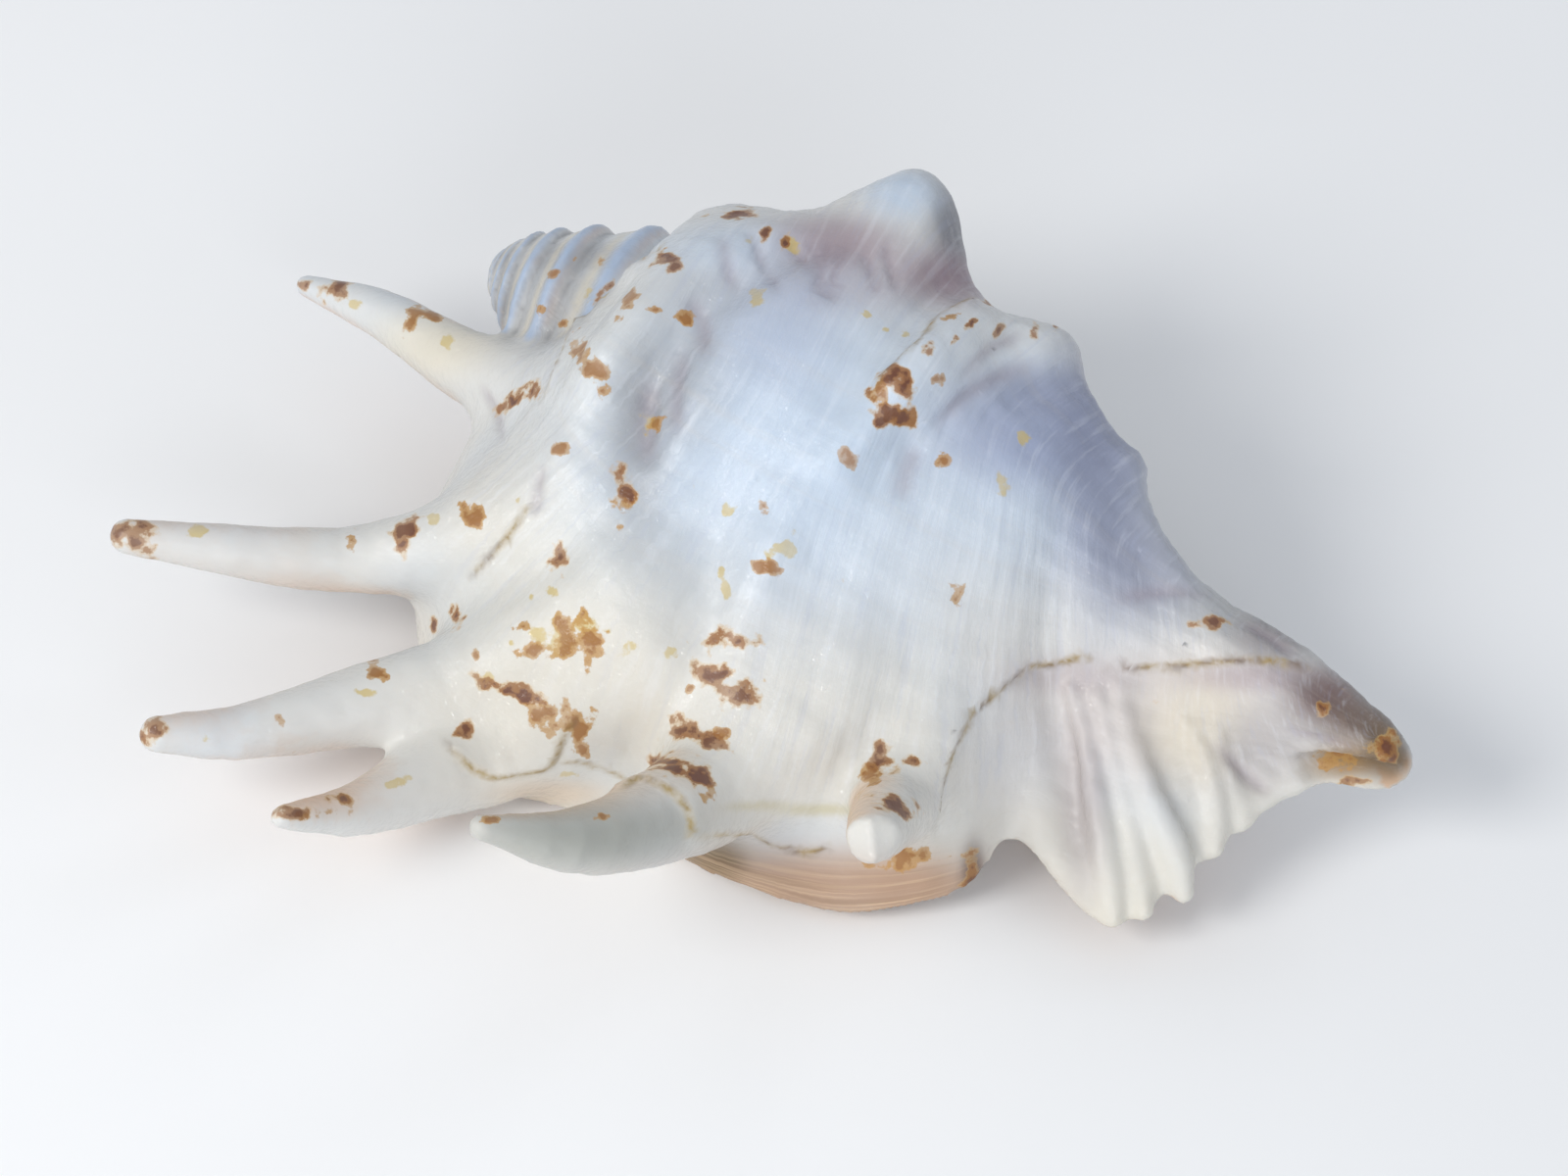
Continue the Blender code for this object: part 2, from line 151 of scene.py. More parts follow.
# Folds that run over the back towards the digits: line, height (a valley is below 0) and reach
FOLDS = {
    "shoulder": (((46, 9, 57), (41, 3.5, 60), (38.5, -6, 60), (36.5, -14.5, 58.5),
        (35.5, -22.5, 55.5), (35.5, -28.5, 51), (36.5, -36, 46), (34.5, -46, 39)), 3.0, 5.0),
    "hollow of the shoulder": (((50, 4, 60), (45.5, -6, 58), (44, -14.5, 57), (44, -23, 54),
        (45, -30, 50.5), (46.5, -35, 47.5)), -2.8, 4.2),
    "lump of the shoulder": (((44, -6, 59), (45, 1.5, 60)), 1.6, 3.0),
    "second fold": (((55, 4, 61), (53, -5, 59), (52, -15, 58), (51, -23, 55), (51, -30, 51),
        (51.5, -38, 45), (52, -48, 40), (50, -57, 31)), 1.8, 4.4),
    "middle hollow": (((59, -24, 48), (59.5, -34, 42), (61, -43, 38), (63, -52, 31)), -1.6, 5.0),
    "ridge": (((84, 20, 49), (78.5, 13, 55), (78, 3, 57.5), (77, -6, 57.5), (75.5, -13, 55.5),
        (73, -20, 51)), 4.8, 4.2),
    "edge of the ridge": (((76.5, 14, 54), (76, 4, 57.5), (74.5, -4, 57.5), (73.5, -13, 55.5)), 1.6, 1.8),
    "hollow behind the ridge": (((69, 17, 51), (70, 5.5, 55), (69, -4, 56), (68.5, -13, 54)), -2.2, 3.6),
    "hollow under the ridge": (((90, 17, 43), (88, 10, 45), (84.5, -1, 48), (80.5, -11, 49),
        (77, -20, 49)), -2.4, 4.0),
    "to fifth digit": (((70, -27, 46), (70, -35, 41), (70.5, -43, 35), (71.5, -50, 31),
        (72, -57, 28)), 2.4, 4.2),
    "beside the fifth digit": (((77, -29, 42), (79, -38, 36), (81, -47, 30)), -1.4, 5.0),
    "to sixth digit": (((94, -26, 30), (96, -33, 25), (98, -40, 22)), 1.6, 3.6),
    "hollow of the notch": (((100, -4, 40), (105, -14, 32), (109, -22, 23)), -1.8, 4.0),
    "to canal": (((102, 14, 34), (111, 6, 32), (119, 1, 28), (128, -4, 25)), 1.8, 3.6),
    "wing hollow": (((108.5, -19, 21), (112, -22, 15), (116, -26.5, 10.5), (120, -33, 6)), -1.8, 2.6),
    "behind the ribs": (((121, -12.5, 22), (125, -15.5, 17.5), (129.5, -18.5, 12.5)), -0.9, 2.6),
}

# Ribs of the wing, which end in small teeth past its edge: line and radius at each place
RIBS = (
    (((110.5, -17.5, 20.4), (114, -20, 17.0), (118, -24, 13.4), (122, -28.5, 9.4), (126, -33, 5.4),
      (129.6, -37.3, 0.8)), (0.6, 1.3, 1.7, 1.9, 1.9, 1.5)),
    (((114.5, -16.5, 20.6), (118, -19.5, 17.0), (121.5, -22.5, 13.4), (126, -26.5, 8.9),
      (129.5, -30.5, 4.9), (133, -34.3, 0.8)), (0.6, 1.1, 1.3, 1.4, 1.5, 1.4)),
    (((117, -14.5, 20.6), (120, -17.5, 17.4), (124.5, -21, 13.4), (128.5, -23.5, 9.8), (133, -26, 6.0),
      (136.6, -29, 1.8)), (0.6, 1.4, 1.9, 2.3, 2.5, 1.6)),
    (((127, -12.2, 17.4), (132, -14.3, 11.8), (135.3, -17.5, 7.4), (137.5, -21.2, 4)), (0.6, 1.3, 1.7, 1.4)),
    (((129.5, -10.2, 16.6), (134.5, -12.4, 10.2), (138.8, -15.3, 5)), (0.6, 1.3, 1.1)),
    (((133, -8, 13), (136, -9, 9.4), (139.8, -10.5, 6)), (0.8, 1.1, 1.0)),
    (((137.5, -8.8, 9), (140.4, -8.4, 7.2), (142.6, -7.4, 7), (143.3, -6.6, 8)), (1.2, 1.2, 1.2, 1.0)),
)

# The canal: its pipe, and the trough that opens it towards the lip
CANAL = (((122, -2, 19.5), (134, -1, 16.5), (143.5, -0.4, 13.8), (150, 0.3, 11.7), (152.6, 0.6, 10.8)),
        (6, 6.2, 6, 5.6, 4.6))
TROUGH = (((142.5, -7.4, 11.6), (147, -5.8, 11.8), (152, -4.6, 11.4), (160, -3.4, 9.8)), (1.0, 3.6, 4.2, 4.2))
# The tip of the sixth digit is broken off in two hollow faces: centre and radius of each
BREAKS = (((101.3, -75.8, 36.6), 14.0), ((115.7, -65.1, 38.1), 14.0))

# Widths of the fillets where pieces of the shell run together, and of the edges that are cut
SPIRE_JOIN = 2.5
RIB_JOIN = 1.8
CANAL_JOIN = 3.0
TROUGH_EDGE = 0.8
BREAK_EDGE = 0.4


def axis_height(x):
    return AXIS_HEIGHT_AT_APEX - AXIS_DROP_PER_MM * x


def smooth_path(points, count):
    """Catmull-Rom curve through the points, sampled at count places."""
    points = np.asarray(points, float)
    before = 2 * points[:1] - points[1:2]
    after = 2 * points[-1:] - points[-2:-1]
    held = np.concatenate([before, points, after])
    place = np.linspace(0, len(points) - 1, count)
    first = np.minimum(place.astype(int), len(points) - 2)
    t = (place - first).reshape((-1,) + (1,) * (points.ndim - 1))
    a, b, c, d = held[first], held[first + 1], held[first + 2], held[first + 3]
    bend = 2 * a - 5 * b + 4 * c - d
    return 0.5 * (2 * b + (c - a) * t + bend * t**2 + (3 * b - a - 3 * c + d) * t**3)


def control_net():
    """Rows of the net, one for each growth line, from the lip edge inwards."""
    rows = [LIP_EDGE, LIP_BROW, LIP_MIDDLE, SHOULDER]
    for turn, share in TURNS:
        angle = np.radians(turn)
        crest_part = np.interp(turn, CREST_TURNS, (1, 0))
        row = []
        for crest_x, back_x, radius in zip(CREST_X, BACK_X, BACK_RADIUS):
            x = back_x + (crest_x - back_x) * crest_part
            reach = radius * share
            row.append((x, -reach * np.cos(angle), axis_height(x) + reach * np.sin(angle)))
        rows.append(row)
    return np.asarray(rows, float)


def surface_normals(grid):
    normals = np.cross(np.gradient(grid, axis=0), np.gradient(grid, axis=1))
    normals /= np.maximum(np.linalg.norm(normals, axis=2, keepdims=True), 1e-9)
    middle = grid.shape[1] // 3
    x, y, z = grid[:, middle].T
    away = np.stack([0 * x, y, z - axis_height(x)], 1)
    return normals * np.sign(np.sum(normals[:, middle] * away))


def knob_lift(points):
    lift = np.zeros(points.shape[:-1])
    for centre, height, along, across in KNOBS:
        away = points - centre
        share = (away[..., 0] / along) ** 2 + (away[..., 1] ** 2 + away[..., 2] ** 2) / across**2
        lift += height * np.exp(-share)
    return lift


def fold_lift(points):
    lift = np.zeros(points.shape[:-1])
    for path, height, reach in FOLDS.values():
        line = smooth_path(path, 4 * len(path))
        gaps = np.linalg.norm(points[..., None, :] - line, axis=-1)
        fade = np.sin(np.linspace(0.25, np.pi - 0.25, len(line))) ** 0.5
        lift += height * np.max(fade * np.exp(-((gaps / reach) ** 2)), axis=-1)
    return lift


def whorl_grid(lines, rows):
    grid = smooth_path(control_net(), rows)
    grid = smooth_path(np.swapaxes(grid, 0, 1), lines)
    normals = surface_normals(grid)
    lift = knob_lift(grid) + fold_lift(grid)
    return grid + normals * lift[..., None], normals


def whorl_mesh(lines=110, rows=150):
    """Closed loft of the last whorl: one loop for each spiral line, wound like a 9."""
    outer, normals = whorl_grid(lines, rows)
    inside = int(rows * INSIDE_SHARE)
    radius = np.interp(outer[:, rows // 3, 0], BACK_X, BACK_RADIUS)
    wall = np.clip(WALL_PER_RADIUS * radius, THIN_WALL, WALL)[:, None]
    depth = np.linspace(0, 1, inside)[None, :]
    closing = np.clip((depth - CLOSING_DEPTH) / (1 - CLOSING_DEPTH), 0, 1) ** 2
    callus = CALLUS_HEIGHT * np.exp(-(((depth - CALLUS_PLACE) / CALLUS_REACH) ** 2))
    callus = callus * np.clip((radius[:, None] - CALLUS_RADII[0]) / (CALLUS_RADII[1] - CALLUS_RADII[0]), 0, 1)
    thickness = wall + callus + closing * (CLOSING_PER_RADIUS * radius[:, None])
    inner = outer[:, :inside] - normals[:, :inside] * thickness[..., None]
    loops = np.concatenate([outer, inner[:, ::-1]], axis=1)
    return loft(loops)


def loft(loops):
    """Points and triangles of a closed skin over a stack of closed loops."""
    count, ring = loops.shape[:2]
    points = loops.reshape(-1, 3)
    here = np.arange(ring)
    after = (here + 1) % ring
    faces = []
    for line in range(count - 1):
        low, high = line * ring, (line + 1) * ring
        faces.append(np.stack([low + here, low + after, high + after], 1))
        faces.append(np.stack([low + here, high + after, high + here], 1))
    ends = [loops[0].mean(axis=0), loops[-1].mean(axis=0)]
    points = np.concatenate([points, ends])
    last = (count - 1) * ring
    faces.append(np.stack([0 * here + count * ring, after, here], 1))
    faces.append(np.stack([0 * here + count * ring + 1, last + here, last + after], 1))
    return points, np.concatenate(faces)


def lattice():
    """Corner and size of the lattice, and the x, y and z of its points in mm."""
    low = np.floor(np.array(LOW_CORNER) / VOXEL).astype(int)
    high = np.ceil(np.array(HIGH_CORNER) / VOXEL).astype(int)
    axes = [np.arange(a, b) * VOXEL for a, b in zip(low, high)]
    return low, tuple(high - low), np.meshgrid(*axes, indexing="ij", sparse=True)


def distance_to_mesh(points, faces, low, size):
    transform = openvdb.createLinearTransform(voxelSize=VOXEL)
    grid = openvdb.FloatGrid.createLevelSetFromPolygons(
        points.astype(np.float32), triangles=faces.astype(np.uint32), transform=transform, halfWidth=BAND
    )
    field = np.zeros(size, np.float32)
    grid.copyToArray(field, ijk=tuple(int(v) for v in low))
    return field


def blend(one, other, width):
    """Union of two distance fields with a fillet of about this width."""
    part = np.maximum(width - np.abs(one - other), 0) / width
    return np.minimum(one, other) - part * part * width / 4


def carve(field, cutter, width):
    return -blend(-field, cutter, width)


def distance_to_path(path, radii, space, pieces=14):
    """Distance to a tapering round tube along a smooth path."""
    line = smooth_path(path, pieces)
    widths = smooth_path(np.asarray(radii, float), pieces)
    x, y, z = space
    nearest = np.full(np.broadcast_shapes(x.shape, y.shape, z.shape), 1e3, np.float32)
    for start, end, wide, thin in zip(line[:-1], line[1:], widths[:-1], widths[1:]):
        step = end - start
        part = (x - start[0]) * step[0] + (y - start[1]) * step[1] + (z - start[2]) * step[2]
        part = np.clip(part / step.dot(step), 0, 1)
        gap = (x - start[0] - part * step[0]) ** 2 + (y - start[1] - part * step[1]) ** 2
        gap = np.sqrt(gap + (z - start[2] - part * step[2]) ** 2)
        nearest = np.minimum(nearest, gap - wide - part * (thin - wide))
    return nearest


def spire_profile(stage):
    """Radius of a spire whorl as a share, from its suture (0) forward to the next (1)."""
    stages = (0, 0.08, 0.36, 0.5, 0.62, 0.78, 0.94, 1)
    return np.interp(stage, stages, (0.92, 0.97, 1.0, 1.07, 1.07, 0.98, 0.935, 0.92))


def distance_to_spire(space):
    x, y, z = space
    up = z - axis_height(x)
    reach = np.sqrt(y**2 + up**2)
    turn = np.arctan2(up, -y) / (2 * np.pi)
    along = np.maximum(x, 0.05)
    stage = np.log(along / SUTURE_X) / np.log(1 / WHORL_RATIO) + turn
    radius = SPIRE_WIDTH * along**SPIRE_POWER * spire_profile(stage % 1.0)
    side = (reach - radius) * 0.8
    return np.maximum(np.maximum(side, -x), x - SPIRE_END).astype(np.float32)


def shell_field():
    low, size, space = lattice()
    points, faces = whorl_mesh()
    field = distance_to_mesh(points, faces, low, size)
    field = blend(field, distance_to_spire(space), SPIRE_JOIN)
    for name, (path, radii) in DIGITS.items():
        field = blend(field, distance_to_path(path, radii, space), JOIN[name])
    for path, radii in RIBS:
        field = blend(field, distance_to_path(path, radii, space), RIB_JOIN)
    field = blend(field, distance_to_path(CANAL[0], CANAL[1], space), CANAL_JOIN)
    field = carve(field, distance_to_path(TROUGH[0], TROUGH[1], space), TROUGH_EDGE)
    x, y, z = space
    for centre, radius in BREAKS:
        ball = np.sqrt((x - centre[0]) ** 2 + (y - centre[1]) ** 2 + (z - centre[2]) ** 2)
        field = carve(field, ball - radius, BREAK_EDGE)
    return field.astype(np.float32), low


def skin(field, low):
    """Triangles of the surface where the field is nought."""
    transform = openvdb.createLinearTransform(voxelSize=VOXEL)
    grid = openvdb.FloatGrid(BAND * VOXEL)
    grid.transform = transform
    grid.copyFromArray(np.clip(field, -BAND * VOXEL, BAND * VOXEL), ijk=tuple(int(v) for v in low))
    points, quads = grid.convertToQuads(0.0)
    return points, quads


def laid_down(points):
    """Turns the shell from its growth frame to the way that it lies on a table."""
    roll, pitch = np.radians(REST_ROLL), np.radians(REST_PITCH)
    about_x = np.array([[1, 0, 0], [0, np.cos(roll), -np.sin(roll)], [0, np.sin(roll), np.cos(roll)]])
    about_y = np.array([[np.cos(pitch), 0, np.sin(pitch)], [0, 1, 0], [-np.sin(pitch), 0, np.cos(pitch)]])
    return points @ (about_x @ about_y).T


# Colours as seen, 0 to 255 a channel
WHITE_BLUE = (206, 222, 240)
WHITE = (229, 228, 224)
CREAM = (235, 224, 198)
WARM = (222, 198, 170)
PINK_TAN = (186, 150, 122)
LILAC = (160, 170, 202)
GREY_LILAC = (140, 146, 172)
MAUVE = (158, 132, 142)
BROWN = (84, 48, 32)
PEACH = (232, 190, 154)
CORD_BLUE = (178, 198, 226)
DIGIT_GREY = (164, 166, 157)
GREY = (156, 156, 158)
MAUVE_WHITE = (214, 204, 200)
# Tints of the fine surface, under the markings
# Painted light on the crests of the fine threads and painted shade in the grooves between them
THREAD_CREST_LIGHT = (236, 240, 248)
THREAD_GROOVE_SHADE = (170, 178, 202)
GROWTH_RING = (206, 194, 178)
# Painted shade in the grooves of the wrinkles
WRINKLE_SHADE = (142, 126, 136)
PALE_STREAK = (226, 196, 160)
DULL_STREAK = (140, 110, 84)
CRUST_TONES = ((156, 128, 54), (112, 88, 66))

# Height in mm below which the shell turns cream, and over which it does
CREAM_HEIGHT = 14
CREAM_FADE = 20

# The lip's rim is streaked: its height in mm, its end towards the canal, its share of the net
RIM_HEIGHT = 9.0
RIM_END = 110.0
RIM_SHARE = 0.14

# Share of the light that the palest shell gives back, against a white sheet
SHELL_TONE = 0.84

# The fine threads lean off the net's spiral lines by this share
THREAD_LEAN = 0.14
# Ripples: height and spacing in mm, how far they wander in radians, how often per mm, its seed
THREADS = (0.05, 2.6, 1.5, 0.06, 2)
CORDS = (0.08, 7.5, 2.5, 0.04, 3)
GROWTH_WAVES = (0.07, 6.5, 4, 0.03, 4)
# Unevenness of two sizes: height in mm, how often per mm, seed
UNEVENNESS = ((0.28, 0.14, 5), (0.1, 0.4, 6))
# The ripples lie between these shares of the net's rows and end at this gap from the net in mm
RIPPLE_SHARES = (0.07, 0.62)
RIPPLE_GAP = 14
# Where the smoother wing starts along x and y
WING_START = (108, -10)
# Width of the edge of a growth step, in mm
STEP_WIDTH = 0.2

# Level of a marking far outside it, and how deep markings and washes reach, as shares of size
FAR_OUTSIDE = -1.5
MARK_DEPTH = 3.5
WASH_DEPTH = 2.5

# Soft washes of colour and of painted shade: pixel, reach in pixels (across, up), colour, strength
COLOUR_AND_SHADE_WASHES = (
    ((560, 640), (130, 170), CREAM, 0.4),
    ((620, 350), (50, 90), CREAM, 0.4),
    ((860, 770), (260, 90), CREAM, 0.2),
    ((838, 826), (40, 5), (204, 192, 142), 0.6),
    ((772, 822), (30, 4), (204, 192, 142), 0.45),
    ((790, 430), (190, 150), WHITE_BLUE, 0.85),
    ((930, 560), (160, 110), WHITE_BLUE, 0.15),
    # Grey on the top of the spire: painted shade
    ((560, 300), (56, 56), GREY, 0.55),
    ((1060, 500), (110, 80), WHITE_BLUE, 0.6),
    # Lilac and grey-lilac on the right flank: painted shade on the side turned from the light
    ((1060, 440), (90, 50), LILAC, 0.8),
    ((1125, 480), (50, 130), GREY_LILAC, 0.85),
    ((1180, 580), (50, 50), GREY_LILAC, 0.6),
    ((1075, 400), (60, 22), GREY_LILAC, 0.55),
    # Dark grey and mauve on the right side of the first knob and in the valley behind it: painted shade
    ((976, 235), (26, 56), (124, 124, 132), 0.95),
    ((970, 285), (50, 24), MAUVE, 0.8),
    ((845, 245), (60, 26), MAUVE, 0.7),
    ((890, 280), (90, 34), MAUVE, 0.4),
    ((920, 195), (34, 26), WHITE_BLUE, 0.9),
    ((740, 250), (60, 26), WHITE_BLUE, 0.6),
    # Lilac and grey in the valleys of the back beside the shoulder fold: painted shade
    ((790, 330), (60, 60), LILAC, 0.35),
    ((690, 390), (44, 60), GREY, 0.5),
    ((652, 450), (28, 80), GREY, 0.6),
    ((712, 300), (40, 24), GREY, 0.35),
    ((800, 905), (150, 36), PINK_TAN, 0.95),
    ((930, 908), (76, 30), PINK_TAN, 0.95),
    ((722, 872), (34, 22), (112, 88, 52), 0.85),
    ((740, 884), (18, 14), (112, 88, 52), 0.6),
    ((993, 890), (11, 30), BROWN, 0.85),
    # Mauve-grey between the ribs of the wing: painted shade
    ((1105, 810), (20, 90), (176, 166, 168), 0.7),
    ((1040, 760), (60, 100), MAUVE_WHITE, 0.3),
    ((1190, 730), (110, 60), MAUVE_WHITE, 0.8),
    ((1225, 745), (50, 50), CREAM, 0.6),
    ((1290, 760), (40, 40), (190, 184, 184), 0.7),
    ((1290, 690), (70, 14), MAUVE, 0.5),
    ((1090, 690), (60, 16), MAUVE, 0.3),
    ((1355, 712), (40, 26), (116, 90, 86), 0.95),
    ((1390, 738), (40, 22), (112, 88, 72), 0.9),
    ((1375, 775), (36, 18), (150, 112, 50), 0.95),
    ((1412, 768), (20, 28), (112, 86, 52), 0.95),
    ((1424, 776), (14, 22), (120, 98, 70), 0.95),
    ((1260, 625), (60, 22), GREY, 0.45),
    ((1300, 650), (40, 22), (132, 120, 124), 0.7),
    ((440, 350), (60, 34), CREAM, 0.6),
    ((200, 575), (120, 26), WHITE, 0.7),
    ((600, 855), (110, 30), DIGIT_GREY, 0.8),
    ((400, 640), (16, 40), CREAM, 0.9),
    ((560, 810), (50, 14), WARM, 0.7),
    # Grey on the apex and the top of the spire: painted shade
    ((516, 280), (14, 40), GREY, 0.7),
    ((600, 262), (60, 14), GREY, 0.6),
)

# Washes on the side that the photo doesn't show: centre and reach in mm, colour, strength
HIDDEN_WASHES = (
    ((60, 32, 34), 20, WHITE_BLUE, 0.5),
    ((88, 27, 30), 17, LILAC, 0.5),
    ((110, 16, 22), 15, GREY_LILAC, 0.4),
    ((58, 24, 54), 9, MAUVE, 0.35),
    ((45, 30, 20), 16, CREAM, 0.5),
    ((140, 5, 14), 12, (150, 128, 122), 0.7),
    ((70, 20, 8), 22, CREAM, 0.5),
)
# Markings there: how many of each kind, and the range of place, turn in degrees and size in mm
HIDDEN_MARKS = 26
HIDDEN_X = (22, 132)
HIDDEN_TURNS = (128, 262)
HIDDEN_SIZES = (0.9, 2.6)
HIDDEN_STRETCH = (0.7, 1.4)
# Distance from the axis at which the rays that place them start, in mm
HIDDEN_START = 90

# Markings: pixel, half size in pixels (across, up), turn in degrees (anticlockwise)
DARK_MARKS = (
    (340, 293, 15, 12, 20), (310, 290, 8, 6, 0), (520, 412, 20, 6, 35), (546, 400, 8, 7, 0),
    (122, 545, 14, 12, 0), (142, 552, 12, 14, 0), (418, 540, 7, 19, -20), (408, 545, 5, 9, 0),
    (155, 745, 16, 9, 0), (465, 627, 6, 12, 15), (443, 636, 4, 8, -10), (474, 744, 7, 7, 0),
    (520, 704, 28, 6, -22), (548, 712, 10, 7, -15), (345, 815, 10, 5, 10), (304, 829, 16, 5, 0),
    (678, 264, 15, 8, -20), (690, 273, 8, 5, -40), (749, 219, 18, 6, 8), (635, 500, 9, 20, 5),
    (907, 388, 15, 8, 25), (920, 396, 10, 10, 0), (908, 420, 18, 8, -5), (922, 424, 12, 9, 0),
    (947, 356, 6, 4, 40), (1009, 311, 7, 4, -40), (1056, 337, 4, 8, -10), (898, 430, 8, 5, 0),
    (722, 687, 12, 16, 15), (736, 690, 10, 6, 0), (753, 709, 15, 10, 0), (740, 703, 10, 6, 20),
    (745, 652, 24, 7, -5), (694, 744, 14, 7, 25), (717, 752, 24, 6, -25), (736, 760, 9, 4, -30),
    (690, 782, 28, 8, -12), (712, 793, 14, 6, -20), (668, 776, 8, 5, 0),
    (903, 776, 14, 10, 20), (931, 776, 14, 6, -10), (898, 768, 6, 8, 0), (912, 821, 22, 6, -12),
    (925, 830, 12, 5, -15), (571, 570, 7, 12, -20), (992, 895, 6, 20, 0), (1236, 634, 14, 5, 0),
    (1350, 722, 8, 6, 0), (1414, 764, 12, 12, 0), (1392, 797, 16, 5, 0), (990, 331, 9, 3, 40),
    (975, 346, 8, 3, 40), (1020, 336, 4, 9, -40), (1036, 322, 3, 8, -30), (1076, 334, 3, 7, -10),
    (780, 238, 4, 8, -20), (800, 250, 4, 9, -20), (616, 296, 12, 4, 45),
)
OCHRE_MARKS = (
    (417, 330, 7, 15, -15), (440, 322, 10, 4, -20), (360, 550, 5, 10, 0), (480, 530, 11, 13, 20),
    (424, 655, 12, 7, 10), (485, 669, 5, 6, 0), (545, 664, 14, 8, 0), (580, 650, 16, 16, 0),
    (600, 655, 14, 20, 0), (385, 687, 13, 8, -35), (287, 736, 7, 7, 0), (555, 732, 18, 16, 0),
    (590, 745, 14, 18, -20), (349, 816, 12, 6, 0), (333, 829, 20, 6, 0), (504, 837, 8, 3, 0),
    (643, 303, 10, 8, 20), (635, 328, 8, 5, 0), (668, 315, 8, 5, 0), (700, 324, 9, 7, 0),
    (592, 358, 8, 14, 10), (606, 378, 12, 9, -30), (616, 400, 6, 6, 0), (553, 315, 5, 8, 0),
    (564, 280, 5, 5, 0), (584, 265, 5, 4, 0), (615, 266, 4, 5, 0), (575, 330, 8, 4, 0),
    (570, 458, 9, 5, 0), (636, 518, 10, 12, 0), (779, 517, 4, 7, 10), (762, 542, 4, 4, 0),
    (776, 579, 12, 5, -20), (865, 462, 6, 12, 25), (920, 425, 14, 8, 0), (900, 400, 8, 14, 0),
    (977, 606, 7, 8, -10), (985, 603, 4, 9, 0), (964, 470, 7, 6, 10), (722, 812, 8, 7, 0),
    (921, 875, 30, 9, 0), (890, 790, 8, 9, 0),
    (705, 703, 6, 5, 0), (737, 747, 6, 6, 0), (955, 388, 5, 6, 0), (970, 324, 10, 4, 20),
    (790, 580, 8, 5, 0), (1360, 775, 16, 10, 0), (668, 430, 8, 9, 0), (530, 640, 8, 5, 0),
    (575, 636, 12, 6, 20), (613, 833, 6, 3, 0),
)
OLIVE_MARKS = (
    (743, 524, 6, 7, 0), (806, 557, 9, 12, -20), (795, 560, 14, 4, 10), (685, 666, 7, 5, 0),
    (1045, 446, 7, 7, 0), (1023, 493, 8, 9, 0), (563, 606, 8, 7, 0), (528, 512, 5, 5, 0),
    (205, 543, 12, 5, 0), (362, 310, 10, 5, 0), (455, 350, 6, 8, 0), (445, 528, 8, 6, 0),
    (570, 650, 24, 14, 0), (212, 756, 6, 5, 0), (374, 707, 10, 4, 0), (774, 303, 14, 10, 0),
    (595, 640, 20, 10, 0), (740, 600, 4, 8, 0), (735, 585, 4, 5, 0), (884, 322, 6, 4, 0),
    (903, 337, 6, 4, 0), (923, 341, 6, 4, 0), (546, 610, 5, 5, 0), (520, 655, 8, 4, 0),
    (500, 690, 10, 5, 0), (640, 660, 8, 4, 0),
    (580, 790, 14, 4, 0), (408, 797, 14, 4, 20), (664, 428, 9, 10, 0),
    (620, 303, 5, 5, 0), (808, 250, 8, 8, 0), (768, 246, 6, 5, 0), (600, 300, 5, 8, 0),
)
# Each kind of marking with the seed of its hidden marks
MARK_KINDS = (("dark", DARK_MARKS, 11), ("ochre", OCHRE_MARKS, 12), ("olive", OLIVE_MARKS, 13))
# Layers of the markings: which marks, where the colour starts and is full, colour, strength
MARK_LAYERS = (
    ("olive", -0.1, 0.4, (198, 174, 96), 0.75),
    ("dark", -0.4, 0.05, (200, 160, 92), 0.6),
    ("ochre", -0.1, 0.2, (178, 130, 50), 0.85),
    ("ochre", 0.3, 0.7, (144, 90, 28), 0.8),
    ("dark", -0.05, 0.25, (142, 88, 30), 0.92),
    ("dark", 0.4, 0.8, (92, 44, 28), 0.85),
)

# Bands round the spire: place and reach in the whorl, colour, strength
SPIRE_BANDS = ((0.56, 0.15, CORD_BLUE, 0.85), (0.27, 0.1, CREAM, 0.5), (0.9, 0.07, GREY, 0.8))

# Lamps: name, place, width in m, watts, colour
LIGHTS = (
    ("key", (-0.45, -0.85, 0.75), 0.5, 8.0, (1, 0.985, 0.96)),
    ("fill", (0.65, -0.75, 0.45), 0.7, 3.6, (0.9, 0.94, 1)),
    ("rim", (0.1, 0.9, 0.7), 0.6, 1.2, (0.8, 0.88, 1)),
)
LIGHT_AIM = (0, 0, 0.03)
SKY_COLOUR = (0.9, 0.94, 1, 1)
SKY_STRENGTH = 0.5
# The floor: its size, its gap under the shell in metres, and its two tones
FLOOR_SIZE = 6
FLOOR_GAP = 0.0005
FLOOR_TONES = ((0.9, 0.9, 0.9, 1), (0.94, 0.94, 0.94, 1))

# Gloss of the shell, and the light that passes through it: share, and reach in m by colour
ROUGHNESS = (0.42, 0.58)
COAT_WEIGHT = 0.35
COAT_ROUGHNESS = 0.1
SUBSURFACE_SHARE = 0.08
SUBSURFACE_RADIUS = (0.0015, 0.0011, 0.0008)
# Heights of the bumps in metres: glints in the coat, and threads, rings and grain below it
GLINT_BUMP = 0.0007
GRAIN_BUMP = 0.0006


def linear(colour):
    """Linear light of a colour as seen."""
    share = np.asarray(colour, float) / 255
    return np.where(share <= 0.04045, share / 12.92, ((share + 0.055) / 1.055) ** 2.4)


def camera_axes():
    """Eye and the camera's right, up and backward axes, in the growth frame."""
    side, lift = np.radians(VIEW_AZIMUTH), np.radians(VIEW_ELEVATION)
    back = np.array([np.sin(side) * np.cos(lift), -np.cos(side) * np.cos(lift), np.sin(lift)])
    right = np.array([np.cos(side), np.sin(side), 0])
    eye = np.array(VIEW_TARGET) + VIEW_DISTANCE * back
    return eye, right, np.cross(back, right), back


